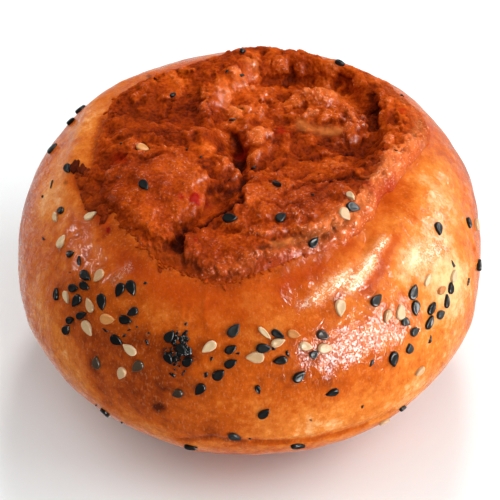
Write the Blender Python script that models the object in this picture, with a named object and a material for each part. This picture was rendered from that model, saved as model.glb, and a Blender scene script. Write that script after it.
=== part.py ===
# Kimchi cheese brioche bun: a round glazed bun whose kimchi and cheese topping is baked into a well in its
# top, with black and white sesame seeds on the crust and the topping.
# The origin is at the middle of the flat foot, +Z is up and the front faces -Y. Lengths are in millimetres,
# and each mesh turns them into metres. Azimuths are in degrees from the front, positive towards +X.
import math
import random

import bmesh
import bpy
import numpy as np
from mathutils import Matrix, Vector, noise

mm = 0.001

# Crust: two superellipses that meet at the belly
bunRadius = 48.0
bellyHeight = 28.2
domeRise = 33.3
upperPower = 2.35
lowerPower = 2.1
lowerReach = 32.4  # depth that the lower curve would have, were it not cut off by the flat foot

bulges = (  # azimuth, half-width in degrees, height, half-height, and how far the crust stands out there
    (-72, 30, 24, 13, 1.0),
    (48, 24, 24, 11, 0.5),
    (130, 16, 50, 8, 0.6),
    (-165, 26, 51, 8, -0.8),
)

edgeFolds = (  # azimuth, half-width in degrees, distance out from the topping's edge, half-width, height
    (-112, 38, 4.0, 2.6, 1.1),
    (58, 42, 0.8, 3.0, -0.9),
)
puckers = ((26, 3.2, 36.5), (34, 3.0, 36.0), (46, 4.0, 35.5), (64, 4.5, 35.0))  # azimuth, half-width and radius
puckerRise = 0.3
puckerLength = 3.6
sideCrease = (85, 3.0, 0.5)  # azimuth, half-width in degrees and depth
footCrease = (5, 38, 0.9, 0.45)  # azimuth, half-width in degrees, half-height and depth
footCreaseHeight = 17.0
footCreaseRise = 5.0

# Well in the crust's top, the steeper one in the topping, and the shallow dish beside it
wellCentre = (9.5, 10.0)
crustWell = (12.5, 20.5)  # radius of the floor and of the mouth
toppingWell = (14.4, 18.4)
frontSlope = 4.0  # how much wider the well's mouth is on its front side
wellDepth = 5.4
crownSag = 2.0
dishCentre = (-13.0, 11.0)
dishRadii = (13.0, 9.0)
dishDepth = 2.2

# Topping
toppingRadius = 31.0
toppingLobes = (  # azimuth, half-width in degrees, and how far the edge runs out there
    (-16, 22, 3.9),
    (-45, 16, 1.4),
    (-76, 12, 2.4),
    (-122, 12, 1.8),
    (-155, 14, -2.6),
    (63, 16, -1.8),
    (108, 18, 6.5),
    (134, 20, 5.5),
    (172, 18, 3.2),
)
edgeRaggedness = 0.8
bedDepth = 2.4
wellFill = 2.0
edgeThickness = 0.5
lipWidth = 2.1
lipRise = 1.1
lipSwells = ((62, 45, 1.9), (145, 50, 0.6))  # azimuth, half-width in degrees and extra height
lipGroove = (60, 42, 4.7, 1.15, 1.1)  # azimuth, half-width in degrees, distance inwards, half-width, depth
nodeGap = 0.3
meshStep = 5.0  # degrees of azimuth between the columns of both meshes
coveredShares = np.linspace(0, 1, 11)  # rings from the well's centre to the edge, under the topping
toppingLines = (  # height above the topping's general surface, half-width, and the line that it follows
    (-2.0, 1.7, ((-3.5, 5), (-2, -1), (-1.2, -8), (-3.4, -13.5), (-7, -17))),
    (-1.7, 1.3, ((-7, -17), (-10.5, -20.5), (-14.5, -23), (-14.5, -27))),
    (-1.2, 1.2, ((2, -12.5), (5.5, -11.5), (9.5, -10), (13.5, -9), (18, -7.5), (20.5, -4.5))),
    (1.5, 3.4, ((-3, 26), (-2, 18), (-1, 11))),
    (1.5, 2.1, ((9.5, 19.5), (15, 17), (20.5, 13.5))),
    (1.4, 2.4, ((21.5, 8), (21, 6))),
)
toppingSlabs = (  # height, centre and radii of raised and sunken patches
    (0.9, (-17, -4), (12, 12)),
    (0.8, (9, -19), (17, 7)),
    (-1.2, (-5.5, -4.5), (4, 7.5)),
)

# Sesame seeds: length, width and thickness of an average one, and how far its middle stands out
seedSize = (3.1, 1.95, 0.95)
seedLift = 0.2
backSeedCount = 30
backSeedSpacing = 4.5
backSeedTurn = -0.2  # how far a back seed's face has to be turned from the camera
randomSeed = 7

# Where the photograph was taken from, so that a seed can be placed by the pixel it is seen at
cameraElevation = 45.0
cameraDistance = 500.0
aimHeight = 30.0
focalPixels = 2397.0
centrePixel = (251.2, 243.5)

# Seeds seen in the photograph: column and row of the middle, direction of the tip in degrees from
# rightwards, and length against an average seed
leftSeeds = (
    (81, 110, 60, 0.85), (72, 122, 40, 0.8), (53, 149, 50, 0.9), (68, 169, -70, 0.9),
    (61, 211, 200, 0.65), (56, 217, 90, 0.75), (91, 216, 30, 0.95), (62, 242, 65, 0.95),
    (71, 254, 30, 0.6), (80, 261, 90, 0.7), (86, 276, -40, 1.0), (99, 276, -125, 0.95), (74, 288, 0, 0.9),
    (85, 286, -30, 0.85), (57, 294, 85, 0.85), (67, 297, -75, 0.85), (77, 301, -120, 1.0),
    (90, 305, 110, 1.0), (102, 302, -85, 1.1), (120, 290, -115, 1.0), (132, 288, -70, 1.05),
    (82, 315, 25, 0.95), (71, 320, 15, 0.8), (67, 329, 60, 0.85), (88, 328, -65, 1.1),
    (108, 319, -5, 1.1), (126, 320, -15, 0.95), (133, 312, -150, 0.85), (117, 340, -30, 0.95),
    (130, 349, 140, 1.05), (97, 362, 95, 0.95), (138, 366, -140, 1.05), (122, 373, -110, 1.05),
    (106, 412, -40, 0.95),
)
frontSeeds = (
    (170, 336, 50, 0.9), (182, 349, -40, 0.8), (169, 358, -60, 0.85), (188, 361, 40, 0.85),
    (178, 393, 200, 0.85), (200, 389, -130, 1.0), (209, 347, -145, 1.1), (219, 374, 40, 0.95),
    (231, 363, 25, 0.9), (231, 349, 30, 0.85), (234, 330, 50, 1.05), (265, 333, -45, 1.1),
    (278, 334, -25, 0.95), (278, 342, 20, 0.95), (264, 348, 0, 1.0), (255, 357, 180, 1.2),
    (294, 334, -10, 0.85), (280, 360, 190, 0.95), (258, 389, -70, 0.65), (264, 413, 40, 0.95),
    (235, 436, -20, 0.95), (191, 446, -10, 0.9), (298, 445, 0, 1.1),
)
rightSeeds = (
    (306, 346, -15, 0.9), (325, 348, 0, 1.05), (323, 335, -25, 0.9), (314, 354, 40, 0.6),
    (299, 376, 40, 1.0), (332, 392, 200, 0.9), (340, 308, -90, 1.1), (376, 300, 50, 1.0),
    (387, 316, -115, 0.9), (400, 312, 90, 1.0), (413, 292, 75, 1.05), (415, 308, -90, 1.0),
    (405, 322, -30, 0.75), (414, 331, 40, 0.75), (409, 348, 90, 0.75), (393, 359, -90, 1.15),
    (419, 371, 215, 0.9), (431, 308, 65, 0.95), (429, 322, 70, 1.0), (440, 314, 45, 0.75),
    (446, 301, 90, 0.95), (450, 288, 90, 0.8), (441, 290, 45, 0.8), (427, 280, 70, 0.95),
    (453, 276, 80, 0.9), (438, 229, -80, 0.9), (468, 223, -80, 0.75), (476, 224, 90, 1.0),
    (478, 265, 90, 0.8), (402, 407, 30, 0.7), (384, 421, 30, 0.8),
)
toppingSeeds = (
    (143, 148, -15, 0.9), (144, 185, -50, 0.85), (230, 218, 0, 1.0), (281, 217, 30, 0.8),
    (314, 242, 50, 0.85), (351, 196, -45, 1.1), (353, 207, -25, 1.0), (345, 214, -50, 1.0),
    (277, 184, -25, 0.95), (173, 95, 0, 0.65), (243, 53, 0, 0.8), (341, 64, -20, 0.8),
)


def smoothStep(low, high, value):
    t = np.clip((value - low) / (high - low), 0, 1)
    return t * t * (3 - 2 * t)


def bump(value, centre, width):
    return np.exp(-(((value - centre) / width) ** 2))


def azimuthBump(azimuth, centre, width):
    return bump((azimuth - centre + 180) % 360 - 180, 0, width)


def rough(x, y, z, size):
    # Smooth noise, mostly between -0.6 and 0.6, with features of the given size
    points = zip(np.ravel(x), np.ravel(y), np.ravel(np.broadcast_to(z, np.shape(x))))
    values = [noise.noise(Vector(point) / size) for point in points]
    return np.reshape(values, np.shape(x))


def lineDistance(x, y, line):
    # Distance in plan from each point to a line with corners
    nearest = np.full(np.shape(x), 1e9)
    for (x0, y0), (x1, y1) in zip(line, line[1:]):
        dx, dy = x1 - x0, y1 - y0
        along = np.clip(((x - x0) * dx + (y - y0) * dy) / (dx * dx + dy * dy), 0, 1)
        nearest = np.minimum(nearest, np.hypot(x - x0 - along * dx, y - y0 - along * dy))
    return nearest


def planPoint(azimuth, radius):
    turn = np.radians(azimuth)
    return radius * np.sin(turn), -radius * np.cos(turn)


def planAzimuth(x, y):
    return np.degrees(np.arctan2(x, -y))


def edgeRadius(azimuth):
    # Plan radius of the topping's ragged edge
    radius = np.full(np.shape(azimuth), toppingRadius)
    for centre, width, reach in toppingLobes:
        radius = radius + reach * azimuthBump(azimuth, centre, width)
    return radius + edgeRaggedness * rough(*planPoint(azimuth, toppingRadius), 0, 4.0)


def hollow(x, y, floorRadius, mouthRadius):
    # Depth below the dome of the crown's sag, the well and the dish
    across = np.hypot(x - wellCentre[0], y - wellCentre[1])
    front = azimuthBump(planAzimuth(x - wellCentre[0], y - wellCentre[1]), 0, 60)
    well = 1 - smoothStep(floorRadius, mouthRadius + frontSlope * front, across)
    across = np.hypot((x - dishCentre[0]) / dishRadii[0], (y - dishCentre[1]) / dishRadii[1])
    dish = (1 - well) * (1 - smoothStep(0.4, 1.2, across))
    return wellDepth * well + dishDepth * dish + crownSag * (1 - smoothStep(9, 28, np.hypot(x, y)))


def crustRelief(azimuth, radius, x, y, z):
    # Height of folds, ridges and creases of the crust above the plain form
    out = radius - edgeRadius(azimuth)
    relief = 0.5 * rough(x, y, z, 19.0) + 0.22 * rough(x, y, z, 8.0)
    for centre, width, height, halfHeight, reach in bulges:
        relief += reach * azimuthBump(azimuth, centre, width) * bump(z, height, halfHeight)
    for centre, width, away, halfWidth, height in edgeFolds:
        relief += height * azimuthBump(azimuth, centre, width) * bump(out, away, halfWidth)
    for centre, width, reach in puckers:
        relief += puckerRise * azimuthBump(azimuth, centre, width) * bump(radius, reach, puckerLength)
    centre, width, depth = sideCrease
    relief -= depth * azimuthBump(azimuth, centre, width) * smoothStep(31, 35, radius) * smoothStep(36, 48, z)
    centre, width, halfHeight, depth = footCrease
    creaseHeight = footCreaseHeight + footCreaseRise * np.cos(np.radians(azimuth * 1.6))
    relief -= depth * azimuthBump(azimuth, centre, width) * bump(z, creaseHeight, halfHeight)
    return relief * smoothStep(0.5, 7.0, z)


def crustPoint(azimuth, angle):
    # Points of the crust by azimuth and profile angle, 90 at the top of the dome and 0 at the belly
    azimuth, angle = np.broadcast_arrays(np.asarray(azimuth, float), np.asarray(angle, float))
    upper = angle >= 0
    power = np.where(upper, upperPower, lowerPower)
    rise = np.where(upper, domeRise, lowerReach)
    cosine = np.abs(np.cos(np.radians(angle)))
    sine = np.abs(np.sin(np.radians(angle)))
    radius = bunRadius * cosine ** (2 / power)
    z = bellyHeight + np.where(upper, 1, -1) * rise * sine ** (2 / power)
    outward = cosine ** (2 - 2 / power) / bunRadius
    upward = np.where(upper, 1, -1) * sine ** (2 - 2 / power) / rise
    length = np.hypot(outward, upward)
    x, y = planPoint(azimuth, radius)
    relief = crustRelief(azimuth, radius, x, y, z)
    radius = radius + relief * outward / length
    z = z + relief * upward / length
    below = smoothStep(0, 6, edgeRadius(azimuth) - radius)
    deep = hollow(x, y, *crustWell)
    z = z - below * (bedDepth + wellFill * smoothStep(2, 5, deep) + deep)
    x, y = planPoint(azimuth, radius)
    return np.stack([x, y, np.maximum(z, 0)], axis=-1)


def domeAngle(radius):
    return np.degrees(np.arccos(np.clip(radius / bunRadius, 0, 1) ** (upperPower / 2)))


def crustUnder(x, y):
    return crustPoint(planAzimuth(x, y), domeAngle(np.hypot(x, y)))


def toppingRelief(x, y, azimuth, inside):
    # Slabs, cracks, lumps and the groove along the rolled lip of the topping
    relief = 0.8 * rough(x, y, 3.0, 6.5) + 0.5 * rough(x, y, 9.0, 3.4)
    for height, centre, radii in toppingSlabs:
        across = np.hypot((x - centre[0]) / radii[0], (y - centre[1]) / radii[1])
        relief += height * (1 - smoothStep(0.65, 1.15, across))
    for height, width, line in toppingLines:
        relief += height * bump(lineDistance(x, y, line), 0, width)
    centre, width, inward, halfWidth, depth = lipGroove
    relief -= depth * azimuthBump(azimuth, centre, width) * bump(inside, inward, halfWidth)
    return relief * smoothStep(0.5, 3.0, inside)


def toppingHeight(x, y):
    # Height of the topping's upper surface
    azimuth = planAzimuth(x, y)
    radius = np.hypot(x, y)
    inside = np.maximum(edgeRadius(azimuth) - radius, 0)
    dome = bellyHeight + domeRise * (1 - np.clip(radius / bunRadius, 0, 1) ** upperPower) ** (1 / upperPower)
    proud = lipRise + sum(swell * azimuthBump(azimuth, centre, width) for centre, width, swell in lipSwells)
    rounded = np.sqrt(1 - (1 - np.clip(inside / lipWidth, 0, 1)) ** 2)
    lip = proud * rounded * (1 - 0.8 * smoothStep(2.5, 9, inside))
    height = dome - hollow(x, y, *toppingWell) + lip + toppingRelief(x, y, azimuth, inside)
    floor = crustUnder(x, y)[..., 2] + nodeGap + edgeThickness
    return np.maximum(height, floor)


def toppingUnderside(x, y):
    # The crust below with the gap left between the two, wider where the well's wall is steep
    step = 0.2
    points = crustUnder(x, y)
    slopeX = (crustUnder(x + step, y)[..., 2] - points[..., 2]) / step
    slopeY = (crustUnder(x, y + step)[..., 2] - points[..., 2]) / step
    points[..., 2] += nodeGap * np.sqrt(1 + slopeX**2 + slopeY**2)
    return points


def insideEdge(azimuths, share):
    # A ring of plan points, from the well's centre at share 0 to the topping's edge at share 1
    x, y = planPoint(azimuths, edgeRadius(azimuths))
    return wellCentre[0] + share * (x - wellCentre[0]), wellCentre[1] + share * (y - wellCentre[1])


def paint(name, colour, roughness):
    material = bpy.data.materials.new(name)
    material.use_nodes = True
    shader = material.node_tree.nodes["Principled BSDF"]
    shader.inputs["Base Color"].default_value = (*colour, 1)
    shader.inputs["Roughness"].default_value = roughness
    shader.inputs["Metallic"].default_value = 0
    material.diffuse_color = (*colour, 1)
    return material


def ringedObject(name, rings, firstPoint, lastPoint, material):
    # A closed mesh from rings of points, with a fan at each end
    bm = bmesh.new()
    rows = [[bm.verts.new(Vector(point) * mm) for point in ring] for ring in rings]
    first = bm.verts.new(Vector(firstPoint) * mm)
    last = bm.verts.new(Vector(lastPoint) * mm)
    count = len(rows[0])
    for i in range(count):
        j = (i + 1) % count
        bm.faces.new((first, rows[0][i], rows[0][j]))
        bm.faces.new((last, rows[-1][j], rows[-1][i]))
        for upper, lower in zip(rows, rows[1:]):
            bm.faces.new((upper[i], lower[i], lower[j], upper[j]))
    bmesh.ops.triangulate(bm, faces=bm.faces[:])
    bmesh.ops.recalc_face_normals(bm, faces=bm.faces[:])
    mesh = bpy.data.meshes.new(name)
    bm.to_mesh(mesh)
    bm.free()
    mesh.materials.append(material)
    mesh.shade_smooth()
    obj = bpy.data.objects.new(name, mesh)
    bpy.context.scene.collection.objects.link(obj)
    return obj


def crustObject(material):
    azimuths = np.arange(0, 360, meshStep)
    edgeAngles = domeAngle(edgeRadius(azimuths))
    footAngle = -math.degrees(math.asin((bellyHeight / lowerReach) ** (lowerPower / 2)))
    rings = [crustUnder(*insideEdge(azimuths, share)) for share in coveredShares[1:]]
    rings += [crustPoint(azimuths, edgeAngles * (1 - share)) for share in np.linspace(0, 1, 8)[1:]]
    rings += [crustPoint(azimuths, footAngle * share) for share in np.linspace(0, 1, 8)[1:]]
    rings.append(rings[-1] * 0.5)
    return ringedObject("bun", rings, crustUnder(*map(np.array, wellCentre)), (0, 0, 0), material)


def toppingObject(material):
    azimuths = np.arange(0, 360, meshStep)
    shares = 1 - np.linspace(1, 0, 22)[1:] ** 1.25
    rings = []
    for share in shares:
        x, y = insideEdge(azimuths, share)
        rings.append(np.stack([x, y, toppingHeight(x, y)], axis=-1))
    rings += [toppingUnderside(*insideEdge(azimuths, share)) for share in coveredShares[:0:-1]]
    x, y = map(np.array, wellCentre)
    top = (x, y, toppingHeight(x, y))
    return ringedObject("kimchi_cheese_topping", rings, top, toppingUnderside(x, y), material)


def seedMesh():
    # The part of a teardrop that stands out, with its tip towards +X, of unit length, width and thickness
    outline = ((0.5, 0), (0.2, 0.42), (-0.24, 0.5), (-0.5, 0), (-0.24, -0.5), (0.2, -0.42))
    bm = bmesh.new()
    lower = [bm.verts.new((x, y, -0.7)) for x, y in outline]
    upper = [bm.verts.new((x * 0.74, y * 0.74, 0.5)) for x, y in outline]
    for i in range(6):
        j = (i + 1) % 6
        bm.faces.new((lower[i], lower[j], upper[j], upper[i]))
    bm.faces.new(lower[::-1])
    bm.faces.new(upper)
    bmesh.ops.triangulate(bm, faces=bm.faces[:])
    mesh = bpy.data.meshes.new("sesame_seed")
    bm.to_mesh(mesh)
    bm.free()
    return mesh


def sightLine(column, row):
    # The camera's place and the direction that a pixel looks in
    tilt = math.radians(cameraElevation)
    towards = Vector((0, -math.cos(tilt), math.sin(tilt)))
    rise = Vector((0, math.sin(tilt), math.cos(tilt)))
    eye = Vector((0, 0, aimHeight)) + towards * cameraDistance
    across = Vector((1, 0, 0)) * ((column - centrePixel[0]) / focalPixels)
    down = rise * ((row - centrePixel[1]) / focalPixels)
    return eye, (across - towards - down).normalized()


def domeValue(point):
    # Under 1 inside the plain bun and over 1 outside it
    power = upperPower if point.z >= bellyHeight else lowerPower
    rise = domeRise if point.z >= bellyHeight else lowerReach
    around = math.hypot(point.x, point.y) / bunRadius
    return around**power + (abs(point.z - bellyHeight) / rise) ** power


def crustSeen(column, row):
    # Azimuth and profile angle of the crust at a pixel, or of its outline where the pixel is just past it
    eye, look = sightLine(column, row)
    steps = (cameraDistance + step for step in range(-70, 71))
    inside = min(steps, key=lambda far: domeValue(eye + look * far))
    outside = cameraDistance - 80
    for _ in range(30):
        middle = (inside + outside) / 2
        if domeValue(eye + look * middle) < 1:
            inside = middle
        else:
            outside = middle
    point = eye + look * inside
    power = upperPower if point.z >= bellyHeight else lowerPower
    rise = domeRise if point.z >= bellyHeight else -lowerReach
    around = (math.hypot(point.x, point.y) / bunRadius) ** (power / 2)
    above = ((point.z - bellyHeight) / rise) ** (power / 2)
    angle = math.degrees(math.atan2(math.copysign(above, rise), around))
    return float(planAzimuth(point.x, point.y)), angle


def toppingSeen(column, row):
    # Plan point of the topping at a pixel
    eye, look = sightLine(column, row)
    height = bellyHeight + domeRise
    for _ in range(12):
        point = eye + look * ((height - eye.z) / look.z)
        height = (height + float(toppingHeight(np.array(point.x), np.array(point.y)))) / 2
    return point.x, point.y


def seedTurn(place, ahead, normal):
    # Rotation that lays a seed on a surface with its tip towards the point ahead
    along = (ahead - place).normalized()
    side = normal.cross(along).normalized()
    along = side.cross(normal)
    return Matrix((along, side, normal)).transposed()


def crustSeedPlace(azimuth, angle, ahead):
    # Point and rotation of a seed on the crust, its tip towards the azimuth and profile angle ahead
    place = Vector(crustPoint(azimuth, angle))
    east = Vector(crustPoint(azimuth + 1.5, angle)) - Vector(crustPoint(azimuth - 1.5, angle))
    north = Vector(crustPoint(azimuth, angle + 1.5)) - Vector(crustPoint(azimuth, angle - 1.5))
    normal = east.cross(north).normalized()
    return place, seedTurn(place, Vector(crustPoint(*ahead)), normal)


def toppingSeedPlace(point, ahead):
    def surface(x, y):
        return Vector((x, y, float(toppingHeight(np.array(x), np.array(y)))))

    x, y = point
    place = surface(x, y)
    east = surface(x + 0.8, y) - surface(x - 0.8, y)
    north = surface(x, y + 0.8) - surface(x, y - 0.8)
    return place, seedTurn(place, surface(*ahead), east.cross(north).normalized())


def pixelAhead(column, row, direction):
    turn = math.radians(direction)
    return column + 4 * math.cos(turn), row - 4 * math.sin(turn)


def seedPlaces():
    # Where the seeds lie on the crust and on the topping: point, rotation and length against an average seed
    onCrust = []
    onTopping = []
    for column, row, direction, length in leftSeeds + frontSeeds + rightSeeds:
        ahead = crustSeen(*pixelAhead(column, row, direction))
        onCrust.append((*crustSeedPlace(*crustSeen(column, row), ahead), length))
    for column, row, direction, length in toppingSeeds:
        ahead = toppingSeen(*pixelAhead(column, row, direction))
        onTopping.append((*toppingSeedPlace(toppingSeen(column, row), ahead), length))
    return onCrust + backSeedPlaces(), onTopping


def backSeedPlaces():
    # The unseen side carries the same loose band of seeds, kept apart from each other
    draw = random.Random(randomSeed)
    eye = sightLine(*centrePixel)[0]
    places = []
    while len(places) < backSeedCount:
        azimuth = draw.uniform(96, 262)
        angle = draw.gauss(20, 13)
        if not -20 < angle < domeAngle(edgeRadius(np.array(azimuth)) + 3.5):
            continue
        ahead = (azimuth + draw.uniform(-2, 2), angle + draw.uniform(-2, 2))
        place, turn = crustSeedPlace(azimuth, angle, ahead)
        if turn.col[2].dot((eye - place).normalized()) > backSeedTurn:
            continue
        if all((place - other).length > backSeedSpacing for other, _, _ in places):
            places.append((place, turn, draw.uniform(0.85, 1.1)))
    return places


def seedObjects(places, mesh, collection):
    for place, turn, length in places:
        obj = bpy.data.objects.new("seed", mesh)
        size = Vector(seedSize) * (length * mm)
        size.z = seedSize[2] * mm
        middle = (place + turn.col[2] * seedLift) * mm
        obj.matrix_world = Matrix.Translation(middle) @ turn.to_4x4() @ Matrix.Diagonal((*size, 1))
        collection.objects.link(obj)


def keepLargestShell(obj):
    # Drops loose scraps, and inner shells so that no hollow stays sealed in
    bm = bmesh.new()
    bm.from_mesh(obj.data)
    shells = []
    left = set(bm.verts)
    while left:
        shell = {left.pop()}
        edge = list(shell)
        while edge:
            for link in edge.pop().link_edges:
                fresh = {vert for vert in link.verts if vert in left}
                left -= fresh
                shell |= fresh
                edge.extend(fresh)
        shells.append(shell)
    shells.sort(key=len)
    for shell in shells[:-1]:
        bmesh.ops.delete(bm, geom=list(shell), context="VERTS")
    bm.to_mesh(obj.data)
    bm.free()


def fuseSeeds(obj, places, mesh):
    collection = bpy.data.collections.new(obj.name + "_seeds")
    bpy.context.scene.collection.children.link(collection)
    seedObjects(places, mesh, collection)
    union = obj.modifiers.new("seeds", "BOOLEAN")
    union.operation = "UNION"
    union.operand_type = "COLLECTION"
    union.collection = collection
    bpy.context.view_layer.update()
    joined = obj.evaluated_get(bpy.context.evaluated_depsgraph_get())
    obj.data = bpy.data.meshes.new_from_object(joined)
    obj.modifiers.clear()
    for seed in list(collection.objects):
        bpy.data.objects.remove(seed)
    bpy.data.collections.remove(collection)
    keepLargestShell(obj)


def main():
    for obj in list(bpy.data.objects):
        bpy.data.objects.remove(obj)
    bun = crustObject(paint("glazed_crust", (0.62, 0.21, 0.04), 0.35))
    topping = toppingObject(paint("kimchi_and_cheese", (0.5, 0.09, 0.015), 0.45))
    onCrust, onTopping = seedPlaces()
    mesh = seedMesh()
    fuseSeeds(bun, onCrust, mesh)
    fuseSeeds(topping, onTopping, mesh)
    bpy.data.meshes.remove(mesh)


main()
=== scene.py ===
# Kimchi cheese brioche bun: an egg-washed bun with a kimchi and cheese topping baked into its top, and black
# and white sesame seeds on both. Lengths are in millimetres and turn into metres where a mesh is made.
# Azimuths are in degrees from the front, positive towards +X. Pixels are those of a 500 x 500 picture.
import math
import random

import bmesh
import bpy
import numpy as np
from mathutils import Matrix, Vector, noise
from mathutils.bvhtree import BVHTree


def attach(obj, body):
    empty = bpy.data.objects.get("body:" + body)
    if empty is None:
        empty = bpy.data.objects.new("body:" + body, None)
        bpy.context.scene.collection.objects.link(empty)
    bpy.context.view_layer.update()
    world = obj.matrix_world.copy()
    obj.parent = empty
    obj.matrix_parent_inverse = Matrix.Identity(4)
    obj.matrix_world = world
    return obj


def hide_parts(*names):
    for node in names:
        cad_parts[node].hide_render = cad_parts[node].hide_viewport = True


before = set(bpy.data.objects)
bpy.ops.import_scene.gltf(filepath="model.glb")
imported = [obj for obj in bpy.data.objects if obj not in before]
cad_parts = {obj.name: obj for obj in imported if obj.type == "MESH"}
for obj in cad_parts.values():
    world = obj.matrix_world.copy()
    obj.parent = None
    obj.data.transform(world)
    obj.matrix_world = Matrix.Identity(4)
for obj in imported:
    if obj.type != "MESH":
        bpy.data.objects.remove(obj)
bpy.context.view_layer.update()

mm = 0.001
pictureSize = 500


def toLinear(hexColour):
    # sRGB hex to the linear values that Blender's sockets take
    channels = [int(hexColour[i:i + 2], 16) / 255 for i in (0, 2, 4)]
    return [c / 12.92 if c <= 0.04045 else ((c + 0.055) / 1.055) ** 2.4 for c in channels] + [1]


def smoothStep(low, high, value):
    t = np.clip((value - low) / (high - low), 0, 1)
    return t * t * (3 - 2 * t)


def bump(value, centre, width):
    return np.exp(-(((value - centre) / width) ** 2))


def azimuthBump(azimuth, centre, width):
    return bump((azimuth - centre + 180) % 360 - 180, 0, width)


def rough(x, y, z, size):
    # Smooth noise, mostly between -0.6 and 0.6, with features of the given size
    points = zip(np.ravel(x), np.ravel(y), np.ravel(np.broadcast_to(z, np.shape(x))))
    values = [noise.noise(Vector(point) / size) for point in points]
    return np.reshape(values, np.shape(x))


def granules(points, size):
    # Rounded granules of uneven height, 0 between them and up to 1 on top
    heights = []
    for point in points.reshape(-1, 3) / size:
        away, cells = noise.voronoi(Vector(point))
        top = max(0, 1 - (away[0] / 0.8) ** 2) ** 0.5
        heights.append(top * (0.3 + 0.7 * noise.cell(cells[0] * 7.3)))
    return np.reshape(heights, points.shape[:-1])


def planPoint(azimuth, radius):
    turn = np.radians(azimuth)
    return radius * np.sin(turn), -radius * np.cos(turn)


def planAzimuth(x, y):
    return np.degrees(np.arctan2(x, -y))


def lineDistance(points, line):
    # Distance from each point to a line with corners, in plan or in space as the line has two or three values
    nearest = np.full(points.shape[:-1], 1e9)
    line = [np.array(corner, float) for corner in line]
    for start, end in zip(line, line[1:] or line):
        step = end - start
        away = points - start
        along = np.clip((away @ step) / max(step @ step, 1e-9), 0, 1)
        nearest = np.minimum(nearest, np.linalg.norm(away - along[..., None] * step, axis=-1))
    return nearest


def shapeInside(points, corners):
    # How far each plan point lies inside a shape with corners, and below 0 outside it
    away = lineDistance(points, [*corners, corners[0]])
    x, y = points[..., 0], points[..., 1]
    inside = np.zeros(x.shape, bool)
    for (x0, y0), (x1, y1) in zip(corners, [*corners[1:], corners[0]]):
        crosses = (y0 > y) != (y1 > y)
        inside ^= crosses & (x < (x1 - x0) * (y - y0) / ((y1 - y0) or 1e-9) + x0)
    return np.where(inside, away, -away)


# The camera looks down on the bun from the front, and every pixel in this file is one of its picture
view = {
    "elevation": 45.0,
    "distance": 500.0,
    "aimHeight": 30.0,
    "focalPixels": 2397.0,
    "centrePixel": (251.2, 243.5),
    "sensorWidth": 36.0,
    "clipStart": 10.0,
    "searchReach": 70,  # how far from the middle of the bun, along a sight line, its outline is looked for
    "searchStep": 2,
}
pixelSize = view["distance"] / view["focalPixels"]  # millimetres that a pixel covers at the bun


def makeCamera():
    data = bpy.data.cameras.new("photoCamera")
    data.sensor_width = view["sensorWidth"]
    data.lens = view["sensorWidth"] * view["focalPixels"] / pictureSize
    data.shift_x = (pictureSize / 2 - view["centrePixel"][0]) / pictureSize
    data.shift_y = (view["centrePixel"][1] - pictureSize / 2) / pictureSize
    data.dof.use_dof = False
    data.clip_start = view["clipStart"] * mm
    obj = bpy.data.objects.new("photoCamera", data)
    tilt = math.radians(view["elevation"])
    obj.location = Vector((0, -math.cos(tilt), math.sin(tilt))) * (view["distance"] * mm)
    obj.location.z += view["aimHeight"] * mm
    obj.rotation_euler = (math.pi / 2 - tilt, 0, 0)
    bpy.context.scene.collection.objects.link(obj)
    bpy.context.scene.camera = obj


def sightLine(column, row):
    # The camera's place and the direction that a pixel looks in
    tilt = math.radians(view["elevation"])
    towards = Vector((0, -math.cos(tilt), math.sin(tilt)))
    rise = Vector((0, math.sin(tilt), math.cos(tilt)))
    eye = Vector((0, 0, view["aimHeight"])) + towards * view["distance"]
    across = Vector((1, 0, 0)) * ((column - view["centrePixel"][0]) / view["focalPixels"])
    down = rise * ((row - view["centrePixel"][1]) / view["focalPixels"])
    return eye, (across - towards - down).normalized()


def seenPoint(tree, column, row):
    # Point and normal of a surface at a pixel, or of its nearest outline where the pixel is just past it
    eye, look = sightLine(column, row)
    point, normal, _, _ = tree.ray_cast(eye, look)
    if point is None:
        reach = view["searchReach"]
        steps = (view["distance"] + step for step in range(-reach, reach + 1, view["searchStep"]))
        hits = (tree.find_nearest(eye + look * far) for far in steps)
        point, normal, _, _ = min(hits, key=lambda hit: hit[3])
    return point, normal


def seenLine(tree, pixels):
    return [tuple(seenPoint(tree, *pixel)[0]) for pixel in pixels]


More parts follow.
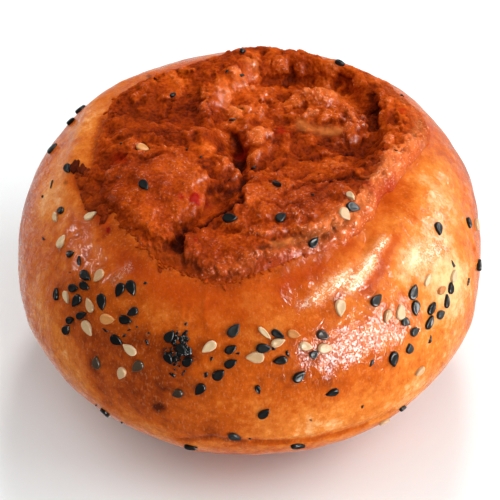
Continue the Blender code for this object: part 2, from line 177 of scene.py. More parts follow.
# The body of the bun: a rounded profile turned about Z and cut flat at its foot, with what bends it
crust = {
    "radius": 48.0,
    "bellyHeight": 28.2,
    "domeRise": 33.3,
    "upperPower": 2.35,
    "lowerPower": 2.1,
    "lowerReach": 32.4,  # depth that the lower curve would have, were it not cut off by the flat foot
    "bulges": (  # azimuth, half-width in degrees, height, half-height, and how far the crust stands out there
        (-72, 30, 24, 13, 1.0),
        (48, 24, 24, 11, 0.5),
        (130, 16, 50, 8, 0.6),
        (-165, 26, 51, 8, -0.8),
    ),
    "edgeFolds": (  # azimuth, half-width in degrees, distance out from the topping's edge, half-width, height
        (-112, 38, 4.0, 2.6, 1.1),
        (58, 42, 0.8, 3.0, -0.9),
    ),
    "puckers": (  # azimuth, half-width in degrees, radius
        (26, 3.2, 36.5), (34, 3.0, 36.0), (46, 4.0, 35.5), (64, 4.5, 35.0)),
    "puckerRise": 0.3,
    "puckerLength": 3.6,
    "sideCrease": (85, 3.0, 0.5),  # azimuth, half-width in degrees and depth
    "sideCreaseRadii": (31, 35),
    "sideCreaseHeights": (36, 48),
    "footCrease": (5, 38, 0.9, 0.45),  # azimuth, half-width in degrees, half-height and depth
    "footCreaseHeight": 17.0,
    "footCreaseRise": 5.0,
    "footCreaseTurns": 1.6,  # how often the crease rises and falls in one turn
    "reliefHeights": (0.5, 7.0),  # folds and creases fade out towards the foot between these
    "swells": ((0.5, 19.0), (0.22, 8.0)),  # height and size of the dough's broad unevenness
    "wellCentre": (9.5, 10.0),
    "well": (12.5, 20.5),  # radius of the floor and of the mouth
    "frontSlope": 4.0,
    "frontWidth": 60,
    "wellDepth": 5.4,
    "bedSlope": 6.0,  # how far inside the topping's edge its bed is fully deep
    "crownSag": 2.0,
    "sagRadii": (9, 28),
    "dishCentre": (-13.0, 11.0),
    "dishRadii": (13.0, 9.0),
    "dishDepth": 2.2,
    "dishEdge": (0.4, 1.2),  # shares of the radii between which the dish flattens out
    "ripples": (  # height, size, stretch downwards and sideways shift of the fine unevenness
        (0.14, 3.4, 0.4, 0),
        (0.05, 1.5, 0.5, 40),
    ),
    "rippleFade": 1.5,  # how far under the topping's edge the fine relief ends
    "rippleHeight": 3.0,  # height above the foot from which it is full
    "bakeAndPaintedLight": 0.5,  # how brown the dough is, from 0 to 1, and what changes it; the tones also paint highlights and shade into it
    "footBake": (0.25, 6.0),  # change at the foot and how high it reaches
    "bellyBake": (-0.1, 22, 8),  # change, height and half-height
    "glaze": (0.12, 0.88),  # share of egg wash under the belly, and what is added above it
    "glazeHeights": (8, 27),
    "glazeDrift": (2.5, 9.0),  # how far the edge of the wash wanders, and in what sizes
    "leastGlaze": 0.05,
    "backOil": (0.75, 4.5),  # strength and width of the oily band that follows the edge behind
    "backAzimuths": (90, 130),
    "columns": 600,
    "hiddenRings": 16,
    "upperRings": 86,
    "lowerRings": 52,
}

# The layer of kimchi and cheese in the well, with the lobes that run out over the crust
topping = {
    "radius": 31.0,
    "well": (14.4, 18.4),
    "lobes": (  # azimuth, half-width in degrees, and how far the edge runs out there
        (-16, 22, 3.9),
        (-45, 16, 1.4),
        (-76, 12, 2.4),
        (-122, 12, 1.8),
        (-155, 14, -2.6),
        (63, 16, -1.8),
        (108, 18, 6.5),
        (134, 20, 5.5),
        (172, 18, 3.2),
    ),
    "raggedness": (0.8, 4.0),  # how far the edge wanders, and in what sizes
    "bedDepth": 2.4,
    "wellFill": 2.0,
    "fillDepths": (2, 5),  # depths of the hollow over which the fill comes in
    "lipWidth": 2.1,
    "lipRise": 1.1,
    "lipFall": (0.8, 2.5, 9),  # share of the lip that is lost inwards, and between which distances
    "lipSwells": ((62, 45, 1.9), (145, 50, 0.6)),  # azimuth, half-width in degrees and extra height
    "lipGroove": (60, 42, 4.7, 1.15, 1.1),  # azimuth, half-width, distance inwards, half-width there, depth
    "lipSide": (62, 48),  # azimuth and half-width in degrees of the crumbly lip
    "lipBand": (1.6, 1.9),  # its distance inwards and half-width
    "swells": ((0.8, 3.0, 6.5), (0.5, 9.0, 3.4)),  # height, layer of the noise and size
    "swellReach": (0.5, 3.0),  # distances inside the edge between which lines, slabs and swells come in
    "slabEdge": (0.65, 1.15),  # shares of a slab's radii between which it ends
    "leastDepth": 0.6,  # of the topping over its bed
    "lines": (  # height above the general surface, half-width, and the line that it follows in plan
        (-2.0, 1.7, ((-3.5, 5), (-2, -1), (-1.2, -8), (-3.4, -13.5), (-7, -17))),
        (-1.7, 1.3, ((-7, -17), (-10.5, -20.5), (-14.5, -23), (-14.5, -27))),
        (-1.2, 1.2, ((2, -12.5), (5.5, -11.5), (9.5, -10), (13.5, -9), (18, -7.5), (20.5, -4.5))),
        (1.5, 3.4, ((-3, 26), (-2, 18), (-1, 11))),
        (1.5, 2.1, ((9.5, 19.5), (15, 17), (20.5, 13.5))),
        (1.4, 2.4, ((21.5, 8), (21, 6))),
    ),
    "slabs": (  # height, centre and radii of raised and sunken patches
        (0.9, (-17, -4), (12, 12)),
        (0.8, (9, -19), (17, 7)),
        (-1.2, (-5.5, -4.5), (4, 7.5)),
    ),
    "cells": 145,  # cells from the middle to the edge
    "edgePacking": 1.25,  # over 1 makes the cells smaller towards the edge
    "edgeWidth": 0.9,
    "edgeSink": 0.3,
    "feather": (0.8, 0, 18),  # how much softer the front tongue's edge is, its azimuth and half-width
    "tearing": (0.3, 0.5),  # raggedness of the edge all round, and what the left adds
    "tornSide": (-35, 50),
    "tears": ((7, 1.9), (11, 0.8)),  # layer of the noise and size of the coarse and fine tears
    "underDepth": 0.8,  # how far the hidden underside reaches into the crust
    "underShares": (0.97, 0.9, 0.8, 0.7, 0.6, 0.5, 0.4, 0.3, 0.2, 0.1),
}


def edgeRadius(azimuth):
    # Plan radius of the topping's ragged edge
    radius = np.full(np.shape(azimuth), topping["radius"])
    for centre, width, reach in topping["lobes"]:
        radius = radius + reach * azimuthBump(azimuth, centre, width)
    wander, size = topping["raggedness"]
    return radius + wander * rough(*planPoint(azimuth, topping["radius"]), 0, size)


def hollow(x, y, floorRadius, mouthRadius):
    # Depth below the dome of the crown's sag, the well and the dish
    centre, dish, radii = crust["wellCentre"], crust["dishCentre"], crust["dishRadii"]
    across = np.hypot(x - centre[0], y - centre[1])
    front = azimuthBump(planAzimuth(x - centre[0], y - centre[1]), 0, crust["frontWidth"])
    well = 1 - smoothStep(floorRadius, mouthRadius + crust["frontSlope"] * front, across)
    across = np.hypot((x - dish[0]) / radii[0], (y - dish[1]) / radii[1])
    dish = (1 - well) * (1 - smoothStep(*crust["dishEdge"], across))
    sag = crust["crownSag"] * (1 - smoothStep(*crust["sagRadii"], np.hypot(x, y)))
    return crust["wellDepth"] * well + crust["dishDepth"] * dish + sag


def crustRelief(azimuth, radius, x, y, z):
    # Height of folds, ridges and creases of the crust above the plain form
    out = radius - edgeRadius(azimuth)
    relief = sum(height * rough(x, y, z, size) for height, size in crust["swells"])
    for centre, width, height, halfHeight, reach in crust["bulges"]:
        relief += reach * azimuthBump(azimuth, centre, width) * bump(z, height, halfHeight)
    for centre, width, away, halfWidth, height in crust["edgeFolds"]:
        relief += height * azimuthBump(azimuth, centre, width) * bump(out, away, halfWidth)
    for centre, width, reach in crust["puckers"]:
        ridge = crust["puckerRise"] * azimuthBump(azimuth, centre, width)
        relief += ridge * bump(radius, reach, crust["puckerLength"])
    centre, width, depth = crust["sideCrease"]
    crease = depth * azimuthBump(azimuth, centre, width) * smoothStep(*crust["sideCreaseRadii"], radius)
    relief -= crease * smoothStep(*crust["sideCreaseHeights"], z)
    centre, width, halfHeight, depth = crust["footCrease"]
    wave = np.cos(np.radians(azimuth * crust["footCreaseTurns"]))
    creaseHeight = crust["footCreaseHeight"] + crust["footCreaseRise"] * wave
    relief -= depth * azimuthBump(azimuth, centre, width) * bump(z, creaseHeight, halfHeight)
    return relief * smoothStep(*crust["reliefHeights"], z)


def crustPoint(azimuth, angle):
    # Points of the crust by azimuth and profile angle, 90 at the top of the dome and 0 at the belly
    azimuth, angle = np.broadcast_arrays(np.asarray(azimuth, float), np.asarray(angle, float))
    upper = angle >= 0
    power = np.where(upper, crust["upperPower"], crust["lowerPower"])
    rise = np.where(upper, crust["domeRise"], crust["lowerReach"])
    cosine = np.abs(np.cos(np.radians(angle)))
    sine = np.abs(np.sin(np.radians(angle)))
    radius = crust["radius"] * cosine ** (2 / power)
    z = crust["bellyHeight"] + np.where(upper, 1, -1) * rise * sine ** (2 / power)
    outward = cosine ** (2 - 2 / power) / crust["radius"]
    upward = np.where(upper, 1, -1) * sine ** (2 - 2 / power) / rise
    length = np.hypot(outward, upward)
    x, y = planPoint(azimuth, radius)
    relief = crustRelief(azimuth, radius, x, y, z)
    radius = radius + relief * outward / length
    z = z + relief * upward / length
    below = smoothStep(0, crust["bedSlope"], edgeRadius(azimuth) - radius)
    deep = hollow(x, y, *crust["well"])
    fill = topping["wellFill"] * smoothStep(*topping["fillDepths"], deep)
    z = z - below * (topping["bedDepth"] + fill + deep)
    x, y = planPoint(azimuth, radius)
    return np.stack([x, y, np.maximum(z, 0)], axis=-1)


def domeAngle(radius):
    return np.degrees(np.arccos(np.clip(radius / crust["radius"], 0, 1) ** (crust["upperPower"] / 2)))


def crustUnder(x, y):
    return crustPoint(planAzimuth(x, y), domeAngle(np.hypot(x, y)))


def insideEdge(azimuths, share):
    # Plan points from the well's centre at share 0 to the topping's edge at share 1
    x, y = planPoint(azimuths, edgeRadius(azimuths))
    centre = crust["wellCentre"]
    return centre[0] + share * (x - centre[0]), centre[1] + share * (y - centre[1])


def makeMesh(name, points, faces, values=None):
    # A smooth mesh object from points in millimetres, with its named values for the material
    mesh = bpy.data.meshes.new(name)
    mesh.from_pydata((np.asarray(points) * mm).tolist(), [], faces)
    mesh.validate()
    for key, value in (values or {}).items():
        attribute = mesh.attributes.new(key, "FLOAT", "POINT")
        attribute.data.foreach_set("value", np.ascontiguousarray(value, np.float32))
    mesh.shade_smooth()
    obj = bpy.data.objects.new(name, mesh)
    bpy.context.scene.collection.objects.link(obj)
    return obj


def gridNormals(grid):
    # Normals of a grid of rings that runs round in its second direction
    along = np.gradient(grid, axis=0)
    around = np.roll(grid, -1, axis=1) - np.roll(grid, 1, axis=1)
    normals = np.cross(along, around)
    return normals / np.maximum(np.linalg.norm(normals, axis=-1, keepdims=True), 1e-9)


def ringFaces(rings, columns, firstPoint, lastPoint):
    # Faces of stacked rings, with a fan at each end
    faces = []
    for ring in range(rings - 1):
        for i in range(columns):
            j = (i + 1) % columns
            a, b = ring * columns, (ring + 1) * columns
            faces.append((a + i, b + i, b + j, a + j))
    last = (rings - 1) * columns
    for i in range(columns):
        j = (i + 1) % columns
        faces.append((firstPoint, i, j))
        faces.append((lastPoint, last + j, last + i))
    return faces


def treeOf(points, faces):
    return BVHTree.FromPolygons([tuple(point) for point in points], faces)


crustFolds = (  # height, half-width in mm, and the pixels that the fold or crease runs through
    (0.16, 0.35, ((183, 304), (181, 320), (177, 335))),
    (0.18, 0.4, ((209, 280), (205, 300), (205, 318), (211, 330))),
    (0.12, 0.3, ((190, 306), (188, 322), (184, 332))),
    (0.4, 1.3, ((312, 299), (330, 286), (346, 273))),
    (0.4, 1.2, ((350, 286), (362, 271), (376, 252), (386, 236))),
    (0.3, 1.5, ((384, 302), (398, 281), (413, 258))),
    (-0.4, 1.0, ((338, 292), (350, 276), (362, 256), (368, 240))),
    (-0.35, 1.1, ((366, 292), (379, 270), (390, 246))),
    (-0.4, 0.5, ((180, 440), (212, 437), (250, 441), (290, 442), (330, 436), (365, 425), (395, 408))),
    (0.2, 0.7, ((150, 424), (190, 431), (240, 434), (290, 435), (335, 428))),
    (0.22, 0.5, ((102, 288), (110, 279), (122, 268))),
    (0.18, 0.45, ((58, 250), (66, 240), (80, 233))),
    (-0.25, 0.7, ((455, 205), (466, 228), (477, 262), (484, 300))),
)
crustTones = (  # value, its change, reach in mm, and the pixels that the tone runs through
    ("bakeAndPaintedLight", 0.4, 1.3, ((157, 408), (161, 407))),
    ("bakeAndPaintedLight", 0.22, 2.6, ((110, 402), (100, 385))),
    ("bakeAndPaintedLight", 0.42, 1.3, ((95, 372), (92, 362))),
    ("bakeAndPaintedLight", 0.25, 5.0, ((95, 338), (130, 370), (165, 385))),
    ("bakeAndPaintedLight", 0.22, 3.0, ((140, 340), (165, 350), (190, 352))),
    # Painted shade in the groove beside the topping's raised left edge
    ("bakeAndPaintedLight", 0.35, 1.3, ((104, 120), (98, 138), (95, 158), (98, 176))),
    # Painted shadow under the front edge of the left slab; the oil beside it is a stain
    ("bakeAndPaintedLight", 0.25, 2.4, ((108, 222), (120, 244), (134, 266))),
    ("oil", 0.15, 3.0, ((108, 222), (120, 244), (134, 266))),
    ("oil", 0.9, 1.5, ((366, 290), (379, 270), (390, 250), (396, 238))),
    ("bakeAndPaintedLight", 0.2, 1.6, ((366, 290), (379, 270), (390, 250), (396, 238))),
    ("oil", 0.7, 0.45, ((436, 290), (437, 291))),
    ("oil", 0.7, 0.45, ((428, 284), (429, 285))),
    ("oil", 0.8, 0.4, ((447, 249), (448, 250))),
    ("oil", 0.7, 0.4, ((416, 241), (417, 242))),
    ("oil", 0.7, 0.4, ((422, 270), (423, 271))),
    ("bakeAndPaintedLight", 0.2, 5.0, ((130, 395), (170, 420), (210, 430))),
    # Painted shade along the crease near the foot
    ("bakeAndPaintedLight", 0.28, 1.0, ((180, 440), (212, 437), (250, 441), (290, 442), (330, 436), (365, 425))),
    ("bakeAndPaintedLight", -0.05, 5.0, ((195, 303), (240, 306), (300, 303))),
    ("bakeAndPaintedLight", -0.12, 9.0, ((458, 250), (466, 290), (455, 340), (425, 385))),
    ("bakeAndPaintedLight", 0.12, 2.5, ((285, 286), (300, 277), (318, 268))),
    ("oil", 0.4, 2.0, ((285, 285), (300, 276), (318, 268))),
    ("glaze", -0.95, 1.4, ((372, 290), (382, 270), (391, 250), (398, 236))),
    ("glaze", -0.8, 2.5, ((345, 250), (362, 238), (378, 222), (392, 195))),
    ("glaze", -0.7, 2.2, ((262, 286), (290, 278), (318, 267), (336, 256))),
    # Painted highlights: paler crust where the right side and the fold crests catch the light
    ("bakeAndPaintedLight", -0.25, 9.0, ((430, 175), (445, 205), (440, 245), (455, 275))),
    ("bakeAndPaintedLight", -0.2, 6.0, ((360, 265), (385, 245), (405, 262))),
    ("bakeAndPaintedLight", -0.25, 1.6, ((318, 297), (330, 287), (346, 277))),
    ("bakeAndPaintedLight", -0.3, 1.4, ((352, 286), (360, 274), (371, 262))),
    ("bakeAndPaintedLight", 0.06, 1.8, ((408, 262), (425, 256), (442, 250))),
    # Painted shade in the crease between the folds, and a painted highlight on the crest of the next fold
    ("bakeAndPaintedLight", 0.18, 0.9, ((335, 300), (347, 286), (356, 268))),
    ("bakeAndPaintedLight", -0.15, 2.0, ((386, 300), (398, 281), (412, 260))),
    ("bakeAndPaintedLight", 0.12, 7.0, ((44, 262), (60, 300))),
    ("bakeAndPaintedLight", -0.22, 8.0, ((445, 300), (420, 350), (380, 395))),
    ("bakeAndPaintedLight", -0.2, 8.0, ((320, 420), (260, 405))),
    ("bakeAndPaintedLight", -0.15, 8.0, ((60, 350), (45, 270))),
    ("bakeAndPaintedLight", -0.25, 6.0, ((48, 200), (65, 155), (90, 115), (130, 85))),
    ("bakeAndPaintedLight", 0.15, 9.0, ((240, 400), (300, 400), (360, 395))),
    ("oil", 0.5, 4.2, ((120, 262), (160, 280), (205, 292), (250, 294), (290, 279), (318, 266))),
    ("oil", 0.7, 2.6, ((345, 250), (372, 228), (390, 195), (402, 170), (425, 152), (432, 130))),
    ("oil", 0.25, 3.4, ((100, 240), (120, 262), (135, 275))),
    ("oil", 0.5, 5.0, ((160, 300), (230, 325), (270, 318))),
    # Painted highlights: pale glints of the glaze on the folds and the sides
    ("paintedGlazeGlint", 0.85, 1.3, ((318, 297), (330, 287), (347, 277))),
    ("paintedGlazeGlint", 0.9, 1.3, ((350, 287), (361, 274), (372, 261))),
    ("paintedGlazeGlint", 0.9, 0.7, ((376, 252), (381, 245), (385, 240))),
    ("paintedGlazeGlint", 0.45, 2.4, ((412, 262), (428, 255), (442, 248))),
    ("paintedGlazeGlint", 0.6, 0.7, ((300, 306), (315, 300))),
    ("paintedGlazeGlint", 0.3, 0.8, ((115, 281), (122, 274), (129, 267))),
    ("chilli", 1.6, 0.45, ((108, 229), (108, 231))),
    ("chilli", 0.6, 0.35, ((103, 236), (104, 237))),
    ("chilli", 0.6, 0.35, ((97, 240), (98, 240))),
    ("chilli", 0.5, 0.3, ((120, 228), (121, 229))),
    ("oil", 0.8, 0.5, ((437, 213), (438, 214))),
    ("scorch", 0.8, 0.9, ((72, 168), (78, 171), (84, 173))),
    ("bakeAndPaintedLight", 0.4, 1.8, ((80, 180), (90, 194), (102, 212))),
    ("chilli", 0.35, 1.4, ((82, 184), (92, 196), (102, 210))),
    ("oil", 1.0, 1.6, ((72, 172), (82, 186), (90, 205), (104, 222))),
    ("scorch", 0.7, 0.8, ((91, 203), (92, 204))),
    ("scorch", 0.6, 0.7, ((149, 76), (150, 77))),
    ("scorch", 0.5, 0.6, ((65, 182), (66, 183))),
)


def makeCrust():
    columns, hidden = crust["columns"], crust["hiddenRings"]
    azimuths = np.arange(columns) * (360 / columns)
    edgeAngles = domeAngle(edgeRadius(azimuths))
    footShare = (crust["bellyHeight"] / crust["lowerReach"]) ** (crust["lowerPower"] / 2)
    footAngle = -math.degrees(math.asin(footShare))
    shares = np.linspace(0, 1, hidden + 1)[1:, None]
    under = crustUnder(*insideEdge(np.broadcast_to(azimuths, (hidden, columns)), shares))
    shares = np.linspace(0, 1, crust["upperRings"] + 1)[1:, None]
    upper = crustPoint(azimuths, edgeAngles * (1 - shares))
    shares = np.linspace(0, 1, crust["lowerRings"] + 1)[1:, None]
    lower = crustPoint(azimuths, footAngle * shares)
    grid = np.concatenate([under, upper, lower])
    rings = len(grid)
    faces = ringFaces(rings, columns, rings * columns, rings * columns + 1)
    ends = [crustUnder(*map(np.array, crust["wellCentre"])), np.zeros(3)]
    plain = treeOf(np.concatenate([grid.reshape(-1, 3), ends]), faces)

    x, y, z = grid[..., 0], grid[..., 1], grid[..., 2]
    inside = edgeRadius(planAzimuth(x, y)) - np.hypot(x, y)
    shown = 1 - smoothStep(0, crust["rippleFade"], inside)
    relief = np.zeros(x.shape)
    for height, size, stretch, shift in crust["ripples"]:
        relief += height * rough(x + shift, y, z * stretch, size)
    for height, width, pixels in crustFolds:
        relief += height * bump(lineDistance(grid, seenLine(plain, pixels)), 0, width)
    relief *= shown * smoothStep(0, crust["rippleHeight"], z)
    values = {key: np.zeros(x.shape) for key in ("bakeAndPaintedLight", "oil", "chilli", "scorch", "paintedGlazeGlint")}
    values["bakeAndPaintedLight"] += crust["bakeAndPaintedLight"]
    least, more = crust["glaze"]
    wander, size = crust["glazeDrift"]
    values["glaze"] = least + more * smoothStep(*crust["glazeHeights"], z + wander * rough(x, y, z, size))
    for key, change, reach, pixels in crustTones:
        values[key] += change * bump(lineDistance(grid, seenLine(plain, pixels)), 0, reach)
    strength, width = crust["backOil"]
    behind = smoothStep(*crust["backAzimuths"], np.abs(planAzimuth(x, y)))
    values["oil"] += strength * behind * bump(inside, 0, width)
    atFoot, footTop = crust["footBake"]
    atBelly, height, halfHeight = crust["bellyBake"]
    values["bakeAndPaintedLight"] += atFoot * smoothStep(footTop, 0, z) + atBelly * bump(z, height, halfHeight)
    values["glaze"] = np.clip(values["glaze"], crust["leastGlaze"], 1)
    points = grid + gridNormals(grid) * relief[..., None]
    points[-1, :, 2] = 0
    points = np.concatenate([points.reshape(-1, 3), ends])
    values = {key: np.concatenate([value.ravel(), [0.5, 0.5]]) for key, value in values.items()}
    obj = makeMesh("briocheCrust", points, faces, values)
    return obj, plain, treeOf(points, faces)


toppingFolds = (  # height, half-width in mm, and the pixels that the ridge or crack runs through
    (-1.0, 0.55, ((233, 129), (238, 152), (240, 168), (243, 177), (240, 198), (229, 207), (213, 213),
                  (201, 225))),
    (-0.9, 0.5, ((201, 225), (186, 228), (177, 236), (176, 246), (182, 262))),
    (-0.6, 0.5, ((243, 172), (255, 167), (268, 172), (290, 160), (330, 156), (352, 152))),
    (-0.5, 0.4, ((262, 178), (300, 182), (340, 177), (352, 172), (366, 176))),
    (-0.5, 1.1, ((371, 84), (373, 105), (377, 125), (374, 150))),
    (0.6, 0.7, ((424, 146), (402, 168), (387, 190), (376, 212), (360, 230), (336, 243))),
    (-0.5, 0.6, ((408, 148), (390, 168), (376, 188), (364, 206), (348, 222), (325, 235))),
    (-0.35, 0.8, ((268, 78), (300, 79), (335, 79), (352, 74))),
    (-0.5, 0.5, ((262, 50), (263, 64), (262, 78))),
    (-0.4, 0.4, ((205, 182), (212, 192), (222, 190), (228, 178))),
    (-0.4, 0.4, ((200, 160), (212, 158), (224, 148), (232, 134))),
    (0.5, 0.7, ((250, 238), (275, 232), (300, 228), (320, 226))),
    (-0.5, 0.45, ((262, 246), (280, 249), (296, 247), (330, 240))),
    (0.5, 0.7, ((248, 256), (268, 255), (288, 253), (310, 250))),
    (-0.4, 0.4, ((300, 258), (320, 250), (345, 241))),
    (0.4, 0.6, ((292, 266), (312, 260), (330, 252))),
    (-0.5, 0.5, ((356, 192), (350, 210), (343, 222), (325, 236))),
    (-0.4, 0.4, ((282, 196), (300, 186), (318, 190), (332, 182))),
    (-0.35, 0.35, ((262, 200), (280, 206), (300, 202))),
    (-0.35, 0.35, ((248, 226), (270, 222), (296, 218))),
    (0.4, 0.3, ((256, 250), (280, 252), (304, 247))),
    (0.4, 0.3, ((270, 261), (292, 258), (316, 251), (334, 243))),
    (0.35, 0.28, ((300, 271), (318, 266), (338, 256))),
    (0.4, 0.3, ((300, 240), (322, 234), (340, 226))),
    (0.4, 0.28, ((139, 232), (142, 243), (141, 254))),
    (0.4, 0.28, ((147, 236), (150, 247), (152, 257))),
    (0.35, 0.28, ((158, 242), (163, 252), (172, 262))),
    (-0.4, 0.4, ((112, 160), (128, 156), (150, 158), (166, 152))),
    (-0.4, 0.4, ((395, 100), (398, 120), (402, 142))),
    (0.6, 0.6, ((381, 92), (379, 110), (381, 128))),
)
# Height, softness of the broken edge in mm, and the pixels of the corners; the smooth ones come first
toppingPlates = (
    (0.1, 1.5, ((264, 48), (300, 44), (345, 58), (354, 74), (330, 80), (300, 82), (266, 78))),
    (0.6, 0.6, ((100, 214), (102, 190), (108, 166), (128, 154), (150, 147), (172, 142), (190, 150),
                (204, 165), (208, 185), (207, 205), (196, 216), (180, 230), (176, 244), (160, 240),
                (146, 236), (128, 228))),
    (0.7, 0.5, ((244, 184), (258, 178), (275, 182), (300, 184), (335, 180), (352, 188), (350, 205),
                (340, 222), (318, 236), (290, 232), (262, 236), (240, 234), (222, 226), (232, 212),
                (242, 200))),
    (0.5, 0.5, ((182, 234), (200, 228), (222, 230), (245, 238), (262, 250), (252, 264), (232, 274),
                (208, 276), (190, 266), (182, 250))),
    (0.7, 0.6, ((232, 72), (248, 66), (262, 76), (268, 95), (262, 118), (248, 126), (236, 138), (226, 130),
                (220, 110), (224, 88))),
    (0.7, 0.5, ((246, 130), (262, 124), (276, 134), (270, 150), (256, 164), (246, 160))),
    (0.9, 0.6, ((300, 96), (320, 90), (345, 92), (362, 104), (358, 118), (335, 122), (312, 116))),
    (0.8, 0.5, ((350, 116), (368, 118), (370, 140), (352, 146), (344, 134))),
    (0.5, 0.5, ((262, 160), (300, 154), (345, 152), (366, 160), (352, 172), (300, 176), (266, 172))),
)
smoothPlates = 4
toppingLumps = (  # height, radius in mm and the pixel of its middle
    (0.9, 2.3, (218, 96)), (0.7, 1.8, (236, 112)), (0.8, 2.2, (256, 108)), (0.7, 1.6, (232, 124)),
    (0.6, 2.0, (206, 108)), (0.7, 2.2, (250, 62)), (0.7, 1.8, (240, 82)), (0.6, 1.7, (258, 88)),
    (0.7, 1.6, (222, 134)), (0.8, 1.7, (212, 152)), (0.8, 1.6, (226, 162)), (0.6, 1.4, (236, 172)),
    (0.7, 2.1, (258, 138)), (0.7, 1.8, (266, 128)), (0.8, 1.9, (256, 160)), (0.6, 1.4, (272, 146)),
    (0.7, 2.0, (286, 108)), (0.8, 1.6, (321, 104)), (0.9, 1.5, (332, 101)), (0.8, 1.4, (310, 112)),
    (0.7, 1.6, (338, 112)), (0.7, 1.4, (328, 118)), (0.9, 2.0, (352, 126)), (0.9, 1.9, (362, 122)),
    (0.7, 1.5, (356, 138)), (0.6, 1.2, (337, 140)), (0.6, 1.1, (344, 144)), (0.6, 1.3, (312, 138)),
    (0.8, 1.7, (327, 88)), (0.7, 1.7, (366, 90)), (0.7, 2.0, (300, 94)), (0.8, 2.2, (385, 142)),
    (0.6, 1.5, (396, 128)), (0.6, 1.6, (390, 108)), (0.7, 2.0, (330, 64)), (0.6, 1.8, (300, 62)),
    (0.6, 1.6, (280, 66)), (0.5, 1.3, (190, 130)), (0.5, 1.2, (178, 150)), (0.6, 1.5, (196, 200)),
    (0.5, 1.4, (204, 176)), (0.6, 1.2, (346, 218)), (0.5, 1.2, (300, 214)), (0.5, 1.3, (250, 200)),
    (0.9, 1.6, (393, 152)), (0.7, 1.3, (385, 171)), (0.9, 1.5, (377, 192)), (0.7, 1.3, (369, 208)),
    (0.8, 1.3, (358, 224)), (0.7, 1.4, (404, 114)), (0.9, 1.6, (402, 136)), (0.8, 1.3, (345, 238)),
    (0.7, 1.2, (330, 247)), (0.8, 1.3, (313, 254)), (0.7, 1.1, (297, 259)), (0.7, 1.2, (280, 264)),
)
toppingTones = (  # value, its change, reach in mm, and the pixels that the tone runs through
    ("cheese", 1.0, 1.3, ((301, 122), (315, 127), (335, 129), (340, 130))),
    ("cheese", 0.9, 0.8, ((276, 241), (284, 246), (290, 240))),
    ("cheese", 0.6, 1.0, ((250, 60), (256, 64))),
    ("cheese", 0.7, 0.8, ((419, 124), (423, 123))),
    ("cheese", 0.7, 0.7, ((424, 146), (428, 146))),
    ("cheese", 0.5, 0.7, ((414, 128), (410, 131))),
    ("thin", 0.7, 1.5, ((154, 250), (162, 254), (172, 258))),
    ("thin", 0.25, 3.0, ((120, 150), (128, 120), (150, 98))),
    ("thin", 0.6, 2.0, ((270, 270), (300, 268), (322, 262))),
    ("thin", 0.6, 2.5, ((250, 272), (280, 278))),
    ("red", 2.5, 1.0, ((193, 199), (194, 200))),
    ("red", 0.7, 0.6, ((206, 203), (209, 205))),
    ("red", 0.35, 1.2, ((262, 268), (282, 262), (292, 256))),
    ("red", 0.9, 0.6, ((181, 198), (180, 197))),
    ("red", 0.9, 0.5, ((196, 239), (197, 240))),
    # Painted light and shade: lighter where light falls on the rims and lumps, darker elsewhere, as in the
    # well's right wall and under the front edge
    ("paintedLightAndShade", 1.0, 7.0, ((185, 80), (230, 54), (270, 52), (310, 56), (350, 70))),
    ("paintedLightAndShade", 1.0, 5.0, ((398, 96), (408, 128), (404, 150))),
    ("paintedLightAndShade", 1.0, 2.6, ((206, 150), (226, 156))),
    ("paintedLightAndShade", 0.8, 4.0, ((228, 90), (250, 92), (252, 112))),
    ("paintedLightAndShade", 0.5, 4.0, ((270, 166), (310, 162), (345, 160))),
    ("paintedLightAndShade", 0.5, 3.0, ((300, 96), (335, 92), (362, 112))),
    ("paintedLightAndShade", 0.5, 2.2, ((196, 152), (207, 180), (208, 206), (196, 220))),
    ("paintedLightAndShade", 0.5, 1.2, ((214, 214), (236, 192), (262, 186))),
    ("paintedLightAndShade", -0.6, 3.0, ((208, 186), (226, 192), (236, 178))),
    ("paintedLightAndShade", -1.0, 3.0, ((340, 150), (366, 130), (372, 100))),
    ("paintedLightAndShade", -0.8, 4.0, ((120, 172), (118, 200), (140, 190), (160, 200))),
    ("paintedLightAndShade", -0.5, 4.0, ((258, 212), (300, 208), (335, 200))),
    ("paintedLightAndShade", -0.6, 2.5, ((255, 266), (290, 266), (320, 258))),
    ("paintedLightAndShade", -0.7, 2.2, ((160, 268), (185, 276), (205, 272), (225, 282))),
    ("burnt", 0.8, 0.6, ((196, 269), (197, 271))),
    ("burnt", 0.5, 0.5, ((149, 76), (150, 77))),
    ("red", 0.6, 1.0, ((245, 145), (240, 152))),
    ("red", 0.6, 0.9, ((280, 128), (285, 132))),
    ("red", 0.7, 0.7, ((404, 108), (404, 110))),
    ("red", 0.5, 1.2, ((115, 156), (122, 160))),
    ("red", 0.6, 1.0, ((395, 186), (378, 205), (366, 180))),
)


